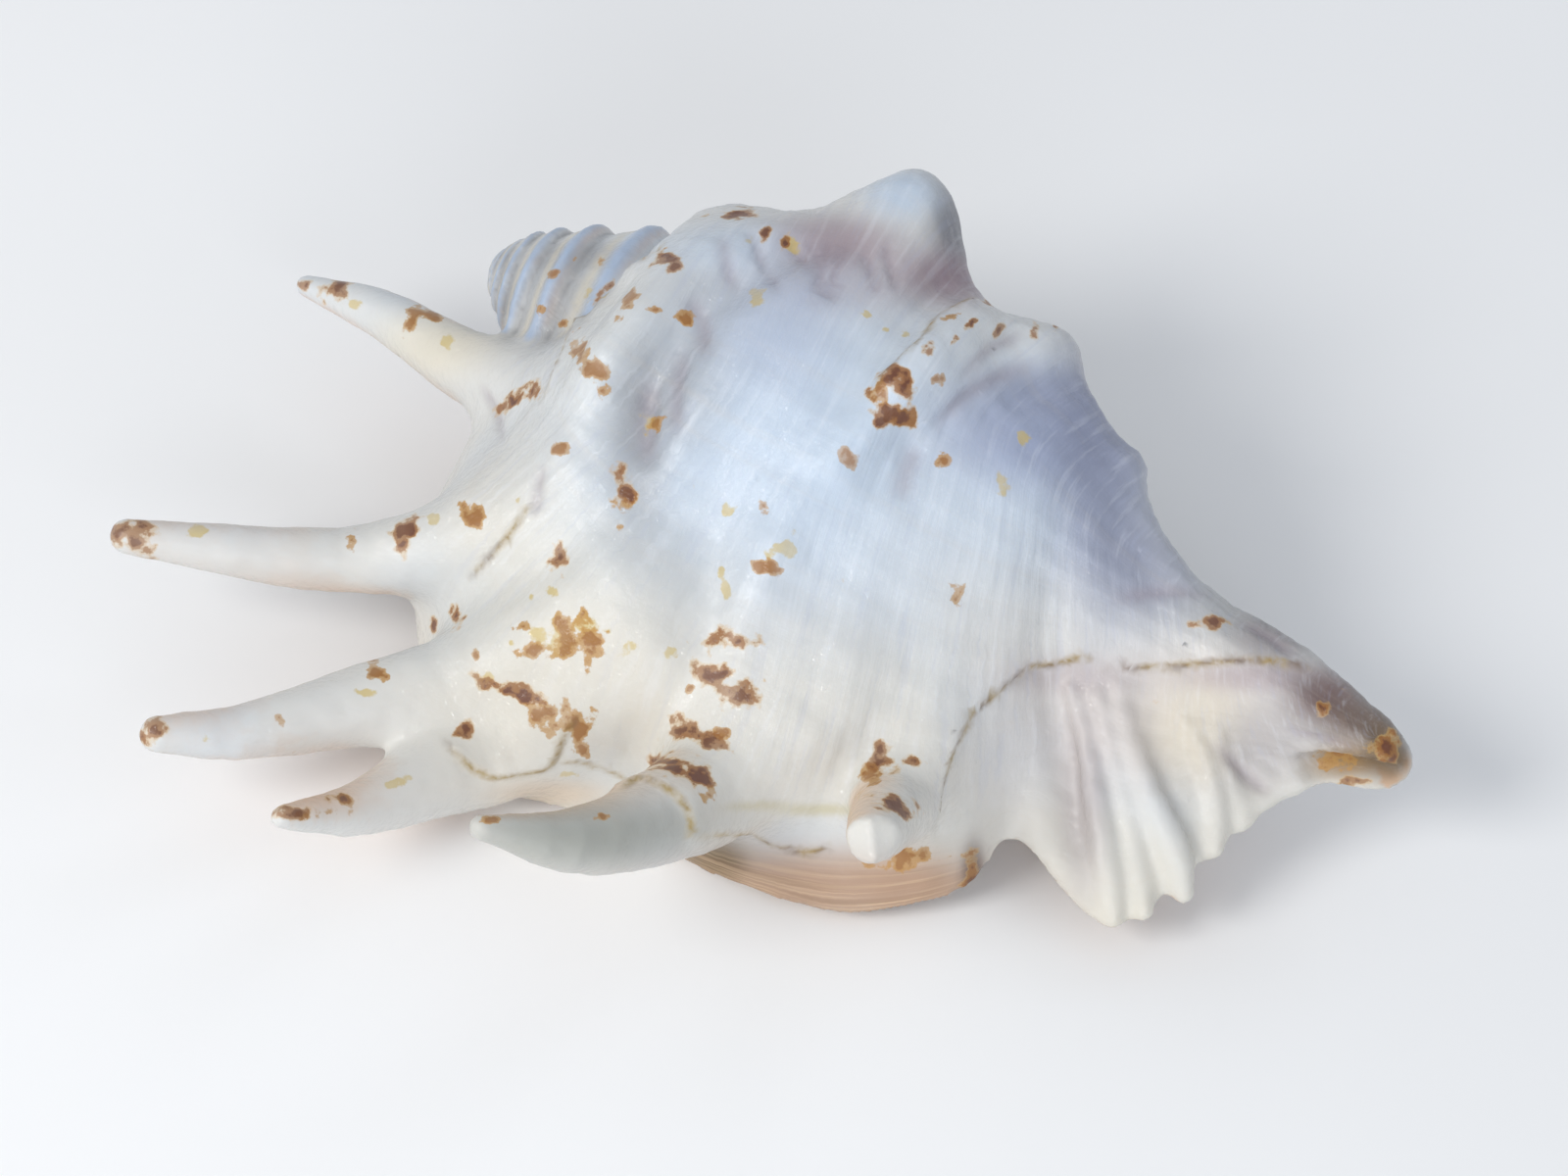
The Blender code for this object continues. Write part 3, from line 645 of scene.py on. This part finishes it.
def sight_ray(pixel):
    eye, right, up, back = camera_axes()
    across = (pixel[0] - PHOTO_CENTRE[0]) * MM_PER_PIXEL
    down = (pixel[1] - PHOTO_CENTRE[1]) * MM_PER_PIXEL
    ray = -VIEW_DISTANCE * back + across * right - down * up
    return eye, ray / np.linalg.norm(ray)


def on_surface(tree, pixel):
    """Where the line of sight through a pixel meets the shell."""
    eye, ray = sight_ray(pixel)
    place = tree.ray_cast(Vector(eye), Vector(ray))[0]
    return None if place is None else np.array(place)


def faces_camera(normals):
    return normals @ camera_axes()[3] > -0.05


def share_facing(normals):
    """1 where the surface faces the camera, falling softly to 0 on the side that it doesn't see."""
    return np.clip((normals @ camera_axes()[3] + 0.75) / 0.9, 0, 1) ** 1.5


def mark_levels(points, normals, tree, marks):
    """1 at a marking's middle, 0 at its rim and below 0 outside, for each point."""
    _, right, up, back = camera_axes()
    facing = faces_camera(normals)
    level = np.full(len(points), FAR_OUTSIDE)
    for across, down, half_width, half_height, turn in marks:
        centre = on_surface(tree, (across, down))
        if centre is None:
            continue
        away = points - centre
        turned = np.radians(turn)
        a, b = away @ right, away @ up
        along = (a * np.cos(turned) + b * np.sin(turned)) / (half_width * MM_PER_PIXEL)
        athwart = (b * np.cos(turned) - a * np.sin(turned)) / (half_height * MM_PER_PIXEL)
        depth = (away @ back) / (MARK_DEPTH * max(half_width, half_height) * MM_PER_PIXEL)
        found = 1 - np.sqrt(along**2 + athwart**2 + depth**2)
        level = np.maximum(level, np.where(facing, found, FAR_OUTSIDE))
    return level


def spire_bands(points, base):
    """Bluish cords and cream slopes round the spire."""
    x, y, z = points.T
    up = z - axis_height(x)
    turn = np.arctan2(up, -y) / (2 * np.pi)
    stage = (np.log(np.maximum(x, 0.05) / SUTURE_X) / np.log(1 / WHORL_RATIO) + turn) % 1.0
    radius = SPIRE_WIDTH * np.maximum(x, 0.05) ** SPIRE_POWER * spire_profile(stage)
    near = np.clip(2.5 - np.abs(np.sqrt(y**2 + up**2) - radius), 0, 1) * np.clip((29 - x) / 4, 0, 1)
    for middle, reach, colour, strength in SPIRE_BANDS:
        share = near * strength * np.exp(-(((stage - middle) / reach) ** 2))
        base = base + (linear(colour) - base) * share[:, None]
    return base


def wash_colours_and_shade(points, normals, tree, base):
    """Base colours with the soft washes laid over them: colours of the shell, and painted shade in its
    hollows, valleys and on its flank turned from the light.
    """
    _, right, up, back = camera_axes()
    facing = share_facing(normals)
    for pixel, reach, colour, strength in COLOUR_AND_SHADE_WASHES:
        centre = on_surface(tree, pixel)
        if centre is None:
            continue
        away = points - centre
        a = (away @ right) / (reach[0] * MM_PER_PIXEL)
        b = (away @ up) / (reach[1] * MM_PER_PIXEL)
        c = (away @ back) / (WASH_DEPTH * max(reach) * MM_PER_PIXEL)
        share = strength * np.exp(-0.7 * (a**2 + b**2 + c**2) ** 1.5) * facing
        base = base + (linear(colour) - base) * share[:, None]
    for centre, reach, colour, strength in HIDDEN_WASHES:
        gap = np.linalg.norm(points - centre, axis=1) / reach
        share = strength * np.exp(-gap**2) * (1 - facing)
        base = base + (linear(colour) - base) * share[:, None]
    return base


def hidden_marks(points, normals, tree, seed):
    """Levels of the markings scattered over the side that the photo doesn't show."""
    draw = random.Random(seed)
    away = 1 - share_facing(normals)
    level = np.full(len(points), FAR_OUTSIDE)
    for _ in range(HIDDEN_MARKS):
        x = draw.uniform(*HIDDEN_X)
        turn = np.radians(draw.uniform(*HIDDEN_TURNS))
        size = draw.uniform(*HIDDEN_SIZES)
        outward = Vector((0, -np.cos(turn), np.sin(turn)))
        start = Vector((x, 0, axis_height(x))) + HIDDEN_START * outward
        place = tree.ray_cast(start, -outward)[0]
        if place is None:
            continue
        stretch = (draw.uniform(*HIDDEN_STRETCH), 1, draw.uniform(*HIDDEN_STRETCH))
        gap = (points - np.array(place)) * stretch
        level = np.maximum(level, 1 - np.linalg.norm(gap, axis=1) / size)
    return np.where(away > 0.3, level, FAR_OUTSIDE)


# Edges of old growth: a line of pixels, height of the step in mm, reach in mm on its high side
GROWTH_STEPS = (
    (((957, 862), (953, 834), (961, 803), (973, 766), (991, 728), (1008, 713), (1044, 683),
      (1073, 677), (1105, 671), (1120, 675)), 1.1, 5.0),
    (((1120, 684), (1200, 679), (1250, 675), (1300, 676), (1340, 684)), 0.9, 4.0),
    (((1027, 299), (999, 304), (982, 312), (956, 326), (938, 351), (907, 379), (890, 400)), 1.2, 4.0),
    (((682, 245), (663, 264), (622, 302), (604, 323), (590, 330), (578, 352), (566, 386),
      (553, 414)), 1.0, 5.0),
    (((450, 752), (470, 776), (501, 793), (538, 788), (562, 780), (577, 750), (594, 726)), 0.7, 4.0),
    (((571, 776), (599, 779), (624, 787), (640, 797)), 0.5, 3.0),
    (((632, 808), (650, 797), (675, 803), (697, 821), (703, 842), (696, 858)), 0.9, 5.0),
    (((702, 852), (753, 850), (779, 856), (809, 866), (830, 868), (850, 861)), 0.7, 4.0),
    (((540, 512), (528, 535), (515, 551), (476, 594)), 0.5, 3.0),
)
# Reach in mm of the crust along such an edge
CRUST_REACH = 0.5

# Wrinkles: a line of pixels, depth and reach in mm; their grooves also get a painted shade
WRINKLES = (
    (((762, 232), (776, 262), (798, 302)), 0.7, 0.9),
    (((798, 236), (818, 264), (839, 294)), 0.7, 0.9),
    (((822, 240), (836, 270), (846, 306)), 0.6, 0.8),
    (((848, 238), (838, 275), (832, 320)), 0.6, 0.9),
    (((868, 240), (852, 275), (846, 326)), 0.5, 0.8),
    (((880, 250), (890, 280), (896, 306)), 0.5, 0.8),
    (((900, 240), (910, 275), (914, 300)), 0.4, 0.8),
    (((735, 238), (742, 268), (752, 300)), 0.5, 1.2),
    (((700, 300), (716, 330), (722, 370)), 0.5, 1.4),
    (((668, 380), (660, 430), (662, 480)), 0.6, 1.6),
    (((700, 350), (690, 400), (690, 450)), 0.5, 1.6),
    (((1062, 372), (1020, 384), (980, 408), (950, 440)), 0.7, 1.2),
    (((1052, 338), (1010, 356), (975, 390)), 0.5, 1.0),
    (((940, 452), (925, 480), (918, 515)), 0.5, 1.4),
    (((556, 470), (548, 500), (546, 530)), 0.5, 0.9),
    (((488, 390), (505, 420), (512, 455)), 0.4, 0.8),
    (((1130, 612), (1190, 604), (1240, 612)), 0.4, 1.2),
    (((1262, 634), (1298, 654), (1322, 674)), 0.5, 1.0),
    (((1308, 744), (1340, 752), (1385, 762)), 0.7, 0.7),
    (((1300, 812), (1270, 790), (1235, 755)), 0.5, 1.0),
)


def net_coordinates(points, lines=150, rows=220):
    """How far each point lies along the spiral lines and the growth lines, in mm, and its net normal."""
    grid, normals = whorl_grid(lines, rows)
    tree = KDTree(lines * rows)
    for index, place in enumerate(grid.reshape(-1, 3)):
        tree.insert(Vector(place), index)
    tree.balance()
    nearest = np.array([tree.find(Vector(point))[1] for point in points])
    line, row = nearest // rows, nearest % rows
    along = np.gradient(grid, axis=0)[line, row]
    across = np.gradient(grid, axis=1)[line, row]
    away = points - grid[line, row]
    step_line = np.clip(np.sum(away * along, 1) / np.maximum(np.sum(along**2, 1), 1e-6), -1, 1)
    step_row = np.sum(away * across, 1) / np.maximum(np.sum(across**2, 1), 1e-6)
    spread = np.linalg.norm(np.diff(grid[:, rows // 4], axis=0), axis=1)
    along_length = np.concatenate([[0], np.cumsum(spread)])
    turned = np.linalg.norm(np.diff(grid[lines // 2], axis=0), axis=1)
    across_length = np.concatenate([[0], np.cumsum(turned)])
    spiral = np.interp(line + step_line, np.arange(lines), along_length)
    growth = np.interp(row + step_row, np.arange(rows), across_length)
    growth += np.minimum(row + step_row, 0) * 0.6
    return spiral, growth, normals[line, row], np.linalg.norm(away, axis=1), row / rows


def placed_line(tree, pixels):
    places = [on_surface(tree, pixel) for pixel in pixels]
    return np.array([place for place in places if place is not None])


def gaps_to_line(points, normals, line):
    """Gap to a line for each point, negative on its right side, and the place along it from 0 to 1."""
    gaps = np.full(len(points), 1e9)
    side = np.zeros(len(points))
    place = np.zeros(len(points))
    for index in range(len(line) - 1):
        step = line[index + 1] - line[index]
        away = points - line[index]
        part = np.clip(away @ step / step.dot(step), 0, 1)
        off = away - part[:, None] * step
        gap = np.linalg.norm(off, axis=1)
        nearer = gap < gaps
        gaps = np.where(nearer, gap, gaps)
        side = np.where(nearer, np.sum(off * np.cross(normals, step), axis=1), side)
        place = np.where(nearer, (index + part) / (len(line) - 1), place)
    return np.sign(side) * gaps, place


def step_lift(points, normals, tree):
    """Height that the edges of old growth add, and how near each point is to such an edge."""
    facing = faces_camera(normals)
    lift = np.zeros(len(points))
    nearness = np.zeros(len(points))
    for pixels, height, reach in GROWTH_STEPS:
        line = smooth_path(placed_line(tree, pixels), 10 * len(pixels))
        signed, place = gaps_to_line(points, normals, line)
        fade = np.clip(8 * np.minimum(place, 1 - place), 0, 1) * facing
        rise = 1 / (1 + np.exp(-signed / STEP_WIDTH))
        lift += height * fade * rise * np.exp(-np.maximum(signed, 0) / reach)
        nearness = np.maximum(nearness, fade * np.exp(-((signed / CRUST_REACH) ** 2)))
    return lift, nearness


def wrinkle_depth(points, normals, tree):
    """Depth of the wrinkles, and how near each point is to one, which places the painted shade in them."""
    facing = faces_camera(normals)
    depth = np.zeros(len(points))
    nearness = np.zeros(len(points))
    for pixels, deep, reach in WRINKLES:
        places = placed_line(tree, pixels)
        if len(places) < 2:
            continue
        line = smooth_path(places, 8 * len(pixels))
        signed, place = gaps_to_line(points, normals, line)
        fade = np.clip(4 * np.minimum(place, 1 - place), 0, 1) * facing
        share = fade * np.exp(-((signed / reach) ** 2))
        depth = np.maximum(depth, deep * share)
        nearness = np.maximum(nearness, share)
    return depth, nearness


def lumps(points, scale, seed):
    """Smooth unevenness between -1 and 1."""
    shift = Vector((seed * 13.1, seed * 7.7, seed * 3.3))
    return np.array([noise.noise(Vector(point) * scale + shift) for point in points])


def ripples(points, place, kind):
    """Height of ripples that follow place, a distance along the shell in mm."""
    height, spacing, wander, often, seed = kind
    return height * np.sin(place * 2 * np.pi / spacing + wander * lumps(points, often, seed))


def fine_shell_mesh():
    points, quads = skin(*shell_field())
    mesh = bpy.data.meshes.new("fine")
    mesh.from_pydata(points.tolist(), [], quads.tolist())
    holder = bpy.data.objects.new("fine", mesh)
    bpy.context.collection.objects.link(holder)
    thin = holder.modifiers.new("thin", "DECIMATE")
    thin.use_collapse_triangulate = True
    thin.ratio = min(1, TRIANGLES / (2 * len(quads)))
    graph = bpy.context.evaluated_depsgraph_get()
    result = bpy.data.meshes.new_from_object(holder.evaluated_get(graph))
    bpy.data.objects.remove(holder)
    return result


def read_vectors(items, name):
    values = np.empty(len(items) * 3, np.float32)
    items.foreach_get(name, values)
    return values.reshape(-1, 3).astype(float)


def read_points(mesh):
    return read_vectors(mesh.vertices, "co")


def read_normals(mesh):
    return read_vectors(mesh.vertex_normals, "vector")


def write_points(mesh, points):
    mesh.vertices.foreach_set("co", points.astype(np.float32).ravel())
    mesh.update()


def keep_number(mesh, name, values):
    layer = mesh.attributes.new(name, "FLOAT", "POINT")
    layer.data.foreach_set("value", values.astype(np.float32))


def keep_colour(mesh, name, values):
    layer = mesh.attributes.new(name, "FLOAT_COLOR", "POINT")
    full = np.concatenate([values, np.ones((len(values), 1))], axis=1)
    layer.data.foreach_set("color", full.astype(np.float32).ravel())


def surface_tree(mesh):
    faces = [tuple(face.vertices) for face in mesh.polygons]
    return BVHTree.FromPolygons([tuple(v.co) for v in mesh.vertices], faces)


def base_colours(points, outside):
    """Colours of the whole shell before the washes: back, underside and inside of the opening."""
    base = np.tile(linear(WHITE), (len(points), 1))
    low = np.clip((CREAM_HEIGHT - points[:, 2]) / CREAM_FADE, 0, 1)[:, None]
    base += (linear(CREAM) - base) * 0.7 * low
    inner = np.clip((0.35 - outside) / 0.5, 0, 1)[:, None]
    base += (linear(PEACH) - base) * 0.85 * inner
    patches = np.clip(lumps(points, 0.05, SEED) * 1.6, 0, 1)[:, None]
    return base + (linear(WHITE_BLUE) - base) * 0.4 * patches * (1 - inner)


def add_relief(mesh, tree):
    """Raises the fine relief, and keeps for the material where each kind of it lies."""
    points, normals = read_points(mesh), read_normals(mesh)
    spiral, growth, net_normals, gap, share = net_coordinates(points)
    outside = np.sum(normals * net_normals, axis=1)
    on_back = np.clip(outside * 2, 0, 1) * np.clip((RIPPLE_SHARES[1] - share) * 8, 0, 1)
    on_back *= np.clip((share - RIPPLE_SHARES[0]) * 15, 0, 1)
    near = np.clip((RIPPLE_GAP - gap) / 10, 0, 1)
    lift, nearness = step_lift(points, normals, tree)
    leaning = spiral + THREAD_LEAN * growth
    threads, cords = ripples(points, leaning, THREADS), ripples(points, leaning, CORDS)
    growth_waves = ripples(points, growth, GROWTH_WAVES)
    wing = np.clip((points[:, 0] - WING_START[0]) / 6, 0, 1)
    wing *= np.clip((WING_START[1] - points[:, 1]) / 6, 0, 1)
    threaded = on_back * near * (1 - 0.85 * wing)
    lift += threaded * (threads + cords) + on_back * near * growth_waves
    depth, wrinkle_shade_share = wrinkle_depth(points, normals, tree)
    lift -= depth
    lift += sum(height * lumps(points, often, seed) for height, often, seed in UNEVENNESS)
    write_points(mesh, points + normals * lift[:, None])
    rim = np.clip(1.4 - 1.4 * points[:, 2] / RIM_HEIGHT, 0, 1)
    rim = rim * np.clip((RIM_SHARE - share) * 20, 0, 1)
    rim *= np.clip((RIM_END - points[:, 0]) / 6, 0, 1)
    kept = {"spiral": spiral, "growth": growth, "crust": nearness, "wrinkle_shade_share": wrinkle_shade_share}
    kept.update({"rim": rim, "ribbed": threaded})
    for name, values in kept.items():
        keep_number(mesh, name, values)
    return outside


def add_colours(mesh, tree, outside):
    points, normals = read_points(mesh), read_normals(mesh)
    for name, marks, seed in MARK_KINDS:
        seen = mark_levels(points, normals, tree, marks)
        keep_number(mesh, name, np.maximum(seen, hidden_marks(points, normals, tree, seed)))
    base = base_colours(points, outside)
    base = spire_bands(points, wash_colours_and_shade(points, normals, tree, base))
    # Colour of the shell, with the painted shade of the washes in it
    keep_colour(mesh, "colour_and_shade", SHELL_TONE * base)


class Nodes:
    """Short ways to add and join shader nodes."""

    def __init__(self, material):
        material.use_nodes = True
        self.tree = material.node_tree
        self.principled = self.tree.nodes["Principled BSDF"]

    def add(self, kind, inputs=(), **settings):
        node = self.tree.nodes.new(kind)
        for name, value in settings.items():
            setattr(node, name, value)
        for socket, value in dict(inputs).items():
            self.put(node.inputs[socket], value)
        return node

    def put(self, socket, value):
        if isinstance(value, bpy.types.NodeSocket):
            self.tree.links.new(value, socket)
        else:
            socket.default_value = value

    def value(self, name):
        return self.add("ShaderNodeAttribute", attribute_name=name).outputs["Fac"]

    def colour(self, name):
        return self.add("ShaderNodeAttribute", attribute_name=name).outputs["Color"]

    def math(self, operation, a, b):
        return self.add("ShaderNodeMath", {0: a, 1: b}, operation=operation).outputs[0]

    def times(self, a, b):
        return self.math("MULTIPLY", a, b)

    def ramp(self, value, low, high, to_low=0.0, to_high=1.0):
        inputs = {"Value": value, "From Min": low, "From Max": high, "To Min": to_low, "To Max": to_high}
        return self.add("ShaderNodeMapRange", inputs, interpolation_type="SMOOTHSTEP").outputs["Result"]

    def noise(self, vector, scale, detail=3.0, rough=0.55):
        inputs = {"Vector": vector, "Scale": scale, "Detail": detail, "Roughness": rough}
        return self.add("ShaderNodeTexNoise", inputs).outputs["Fac"]

    def mix(self, share, a, b):
        node = self.add("ShaderNodeMix", data_type="RGBA")
        self.put(node.inputs["Factor"], share)
        self.put(node.inputs["A"], a)
        self.put(node.inputs["B"], b)
        return node.outputs["Result"]

    def combine(self, x, y):
        return self.add("ShaderNodeCombineXYZ", {"X": x, "Y": y}).outputs["Vector"]


def shade(colour):
    return tuple(linear(colour)) + (1.0,)


def shell_noises(nodes):
    """Noises that the colours, the gloss and the bumps share."""
    place = nodes.add("ShaderNodeTexCoord").outputs["Object"]
    spiral, growth = nodes.value("spiral"), nodes.value("growth")
    leaning = nodes.math("ADD", spiral, nodes.times(growth, THREAD_LEAN))
    thread_place = nodes.combine(leaning, nodes.times(growth, 0.07))
    growth_place = nodes.combine(nodes.times(spiral, 0.04), growth)
    streak_place = nodes.combine(nodes.times(spiral, 0.05), nodes.times(growth, 1.6))
    return {
        "threads": nodes.noise(thread_place, 0.8, 3.0),
        "rings": nodes.noise(growth_place, 0.35, 4.0),
        "pale streaks": nodes.noise(streak_place, 1.0, 3.0),
        "dull streaks": nodes.noise(streak_place, 0.7, 3.0),
        "ragged": nodes.noise(place, 420.0, 4.0, 0.6),
        "blotchy": nodes.noise(place, 210.0, 2.0, 0.5),
        "glints": nodes.noise(place, 900.0, 2.0, 0.5),
        "broad": nodes.noise(place, 110.0, 3.0),
    }


def tinted(nodes, noises, colour):
    """A colour under the threads, growth rings, wrinkles and streaks of the rim; on the threads and in the
    wrinkles the tints are painted light and shade.
    """
    ribbed, rim = nodes.value("ribbed"), nodes.value("rim")
    tints = (
        # Pale on the thread crests and bluish between them, following the bump: painted light and painted
        # shade
        (nodes.times(nodes.ramp(noises["threads"], 0.52, 0.7, 0.0, 0.15), ribbed), THREAD_CREST_LIGHT),
        (nodes.times(nodes.ramp(noises["threads"], 0.46, 0.34, 0.0, 0.14), ribbed), THREAD_GROOVE_SHADE),
        (nodes.ramp(noises["rings"], 0.5, 0.8, 0.0, 0.16), GROWTH_RING),
        # Mauve along the wrinkles: painted shade in their grooves
        (nodes.times(nodes.value("wrinkle_shade_share"), 0.4), WRINKLE_SHADE),
        (nodes.times(nodes.ramp(noises["pale streaks"], 0.45, 0.65, 0.0, 0.45), rim), PALE_STREAK),
        (nodes.times(nodes.ramp(noises["dull streaks"], 0.5, 0.36, 0.0, 0.4), rim), DULL_STREAK),
    )
    for share, tone in tints:
        colour = nodes.mix(share, colour, shade(tone))
    return colour


def marked(nodes, noises, colour):
    """A colour under the ragged markings and the crust along old edges."""
    frayed = nodes.times(nodes.math("SUBTRACT", noises["ragged"], 0.5), 3.0)
    frayed = nodes.math("ADD", frayed, nodes.times(nodes.math("SUBTRACT", noises["blotchy"], 0.5), 2.4))
    uneven = nodes.ramp(noises["broad"], 0.35, 0.65, 0.7, 1.0)
    for name, low, high, tone, strength in MARK_LAYERS:
        level = nodes.math("ADD", nodes.value(name), frayed)
        share = nodes.times(nodes.ramp(level, low, high, 0.0, strength), uneven)
        colour = nodes.mix(share, colour, shade(tone))
    crust = nodes.times(nodes.value("crust"), nodes.ramp(noises["ragged"], 0.3, 0.6, 0.35, 0.95))
    ochre, brown = (shade(tone) for tone in CRUST_TONES)
    return nodes.mix(crust, colour, nodes.mix(nodes.ramp(noises["blotchy"], 0.45, 0.65), ochre, brown))


def set_gloss(nodes, noises):
    sockets = nodes.principled.inputs
    nodes.put(sockets["Roughness"], nodes.ramp(noises["broad"], 0.3, 0.7, *ROUGHNESS))
    sockets["Specular IOR Level"].default_value = 0.5
    sockets["Coat Weight"].default_value = COAT_WEIGHT
    sockets["Coat Roughness"].default_value = COAT_ROUGHNESS
    sockets["Subsurface Weight"].default_value = SUBSURFACE_SHARE
    sockets["Subsurface Radius"].default_value = SUBSURFACE_RADIUS
    sockets["Subsurface Scale"].default_value = 1.0


def set_bumps(nodes, noises):
    height = nodes.times(nodes.times(noises["threads"], nodes.value("ribbed")), 0.6)
    height = nodes.math("ADD", height, nodes.times(noises["rings"], 0.35))
    height = nodes.math("ADD", height, nodes.times(noises["ragged"], 0.12))
    bumps = (("Coat Normal", noises["glints"], 1.0, GLINT_BUMP), ("Normal", height, 0.35, GRAIN_BUMP))
    for socket, rise, strength, distance in bumps:
        bump = nodes.add("ShaderNodeBump", {"Height": rise, "Strength": strength, "Distance": distance})
        nodes.put(nodes.principled.inputs[socket], bump.outputs["Normal"])


def shell_material():
    """Glossy shell: soft washes of colour and painted shade, faint threads with painted light and shade,
    growth lines, painted shade in the wrinkles, brown markings with ragged edges.
    """
    material = bpy.data.materials.new("shell")
    nodes = Nodes(material)
    noises = shell_noises(nodes)
    colour = marked(nodes, noises, tinted(nodes, noises, nodes.colour("colour_and_shade")))
    nodes.put(nodes.principled.inputs["Base Color"], colour)
    set_gloss(nodes, noises)
    set_bumps(nodes, noises)
    return material


def placed(points):
    """Points of the growth frame in metres in the row's frame, and the shift that puts them there."""
    turned = laid_down(points)
    low, high = turned.min(axis=0), turned.max(axis=0)
    shift = np.array([(low[0] + high[0]) / 2, (low[1] + high[1]) / 2, low[2]])
    return (turned - shift) * MM, shift


def make_shell():
    mesh = fine_shell_mesh()
    tree = surface_tree(mesh)
    add_colours(mesh, tree, add_relief(mesh, tree))
    points, shift = placed(read_points(mesh))
    write_points(mesh, points)
    mesh.name = "spider_conch"
    mesh.shade_smooth()
    mesh.materials.append(shell_material())
    shell = bpy.data.objects.new("spider_conch", mesh)
    bpy.context.collection.objects.link(shell)
    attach(shell, "root")
    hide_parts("shell")
    return shift


def make_camera(shift):
    eye, right, up, back = camera_axes()
    eye = (laid_down(eye) - shift) * MM
    right, up, back = laid_down(right), laid_down(up), laid_down(back)
    lens = bpy.data.cameras.new("photo view")
    lens.sensor_width = SENSOR_MM
    lens.lens = SENSOR_MM * VIEW_DISTANCE / (PHOTO_WIDTH * MM_PER_PIXEL)
    lens.clip_start = 0.01
    camera = bpy.data.objects.new("photo view", lens)
    columns = np.stack([right, up, back, eye], axis=1)
    camera.matrix_world = Matrix([list(row) for row in columns] + [[0, 0, 0, 1]])
    bpy.context.collection.objects.link(camera)
    bpy.context.scene.camera = camera


def add_light(name, place, size, power, colour):
    lamp = bpy.data.lights.new(name, "AREA")
    lamp.shape = "DISK"
    lamp.size = size
    lamp.energy = power
    lamp.color = colour
    light = bpy.data.objects.new(name, lamp)
    light.location = place
    light.rotation_euler = (Vector(place) - Vector(LIGHT_AIM)).to_track_quat("Z", "Y").to_euler()
    bpy.context.collection.objects.link(light)


def make_studio():
    for lamp in LIGHTS:
        add_light(*lamp)
    world = bpy.data.worlds.new("soft studio")
    world.use_nodes = True
    world.node_tree.nodes["Background"].inputs["Color"].default_value = SKY_COLOUR
    world.node_tree.nodes["Background"].inputs["Strength"].default_value = SKY_STRENGTH
    bpy.context.scene.world = world
    bpy.context.scene.view_settings.view_transform = "Standard"


def make_floor():
    bpy.ops.mesh.primitive_plane_add(size=FLOOR_SIZE, location=(0, 0, -FLOOR_GAP))
    floor = bpy.context.object
    floor.name = "floor"
    material = bpy.data.materials.new("floor")
    nodes = Nodes(material)
    place = nodes.add("ShaderNodeTexCoord").outputs["Object"]
    soft = nodes.ramp(nodes.noise(place, 3.0), 0.3, 0.7)
    tone = nodes.mix(soft, *FLOOR_TONES)
    nodes.put(nodes.principled.inputs["Base Color"], tone)
    nodes.principled.inputs["Roughness"].default_value = 0.8
    floor.data.materials.append(material)


make_camera(make_shell())
make_studio()
make_floor()
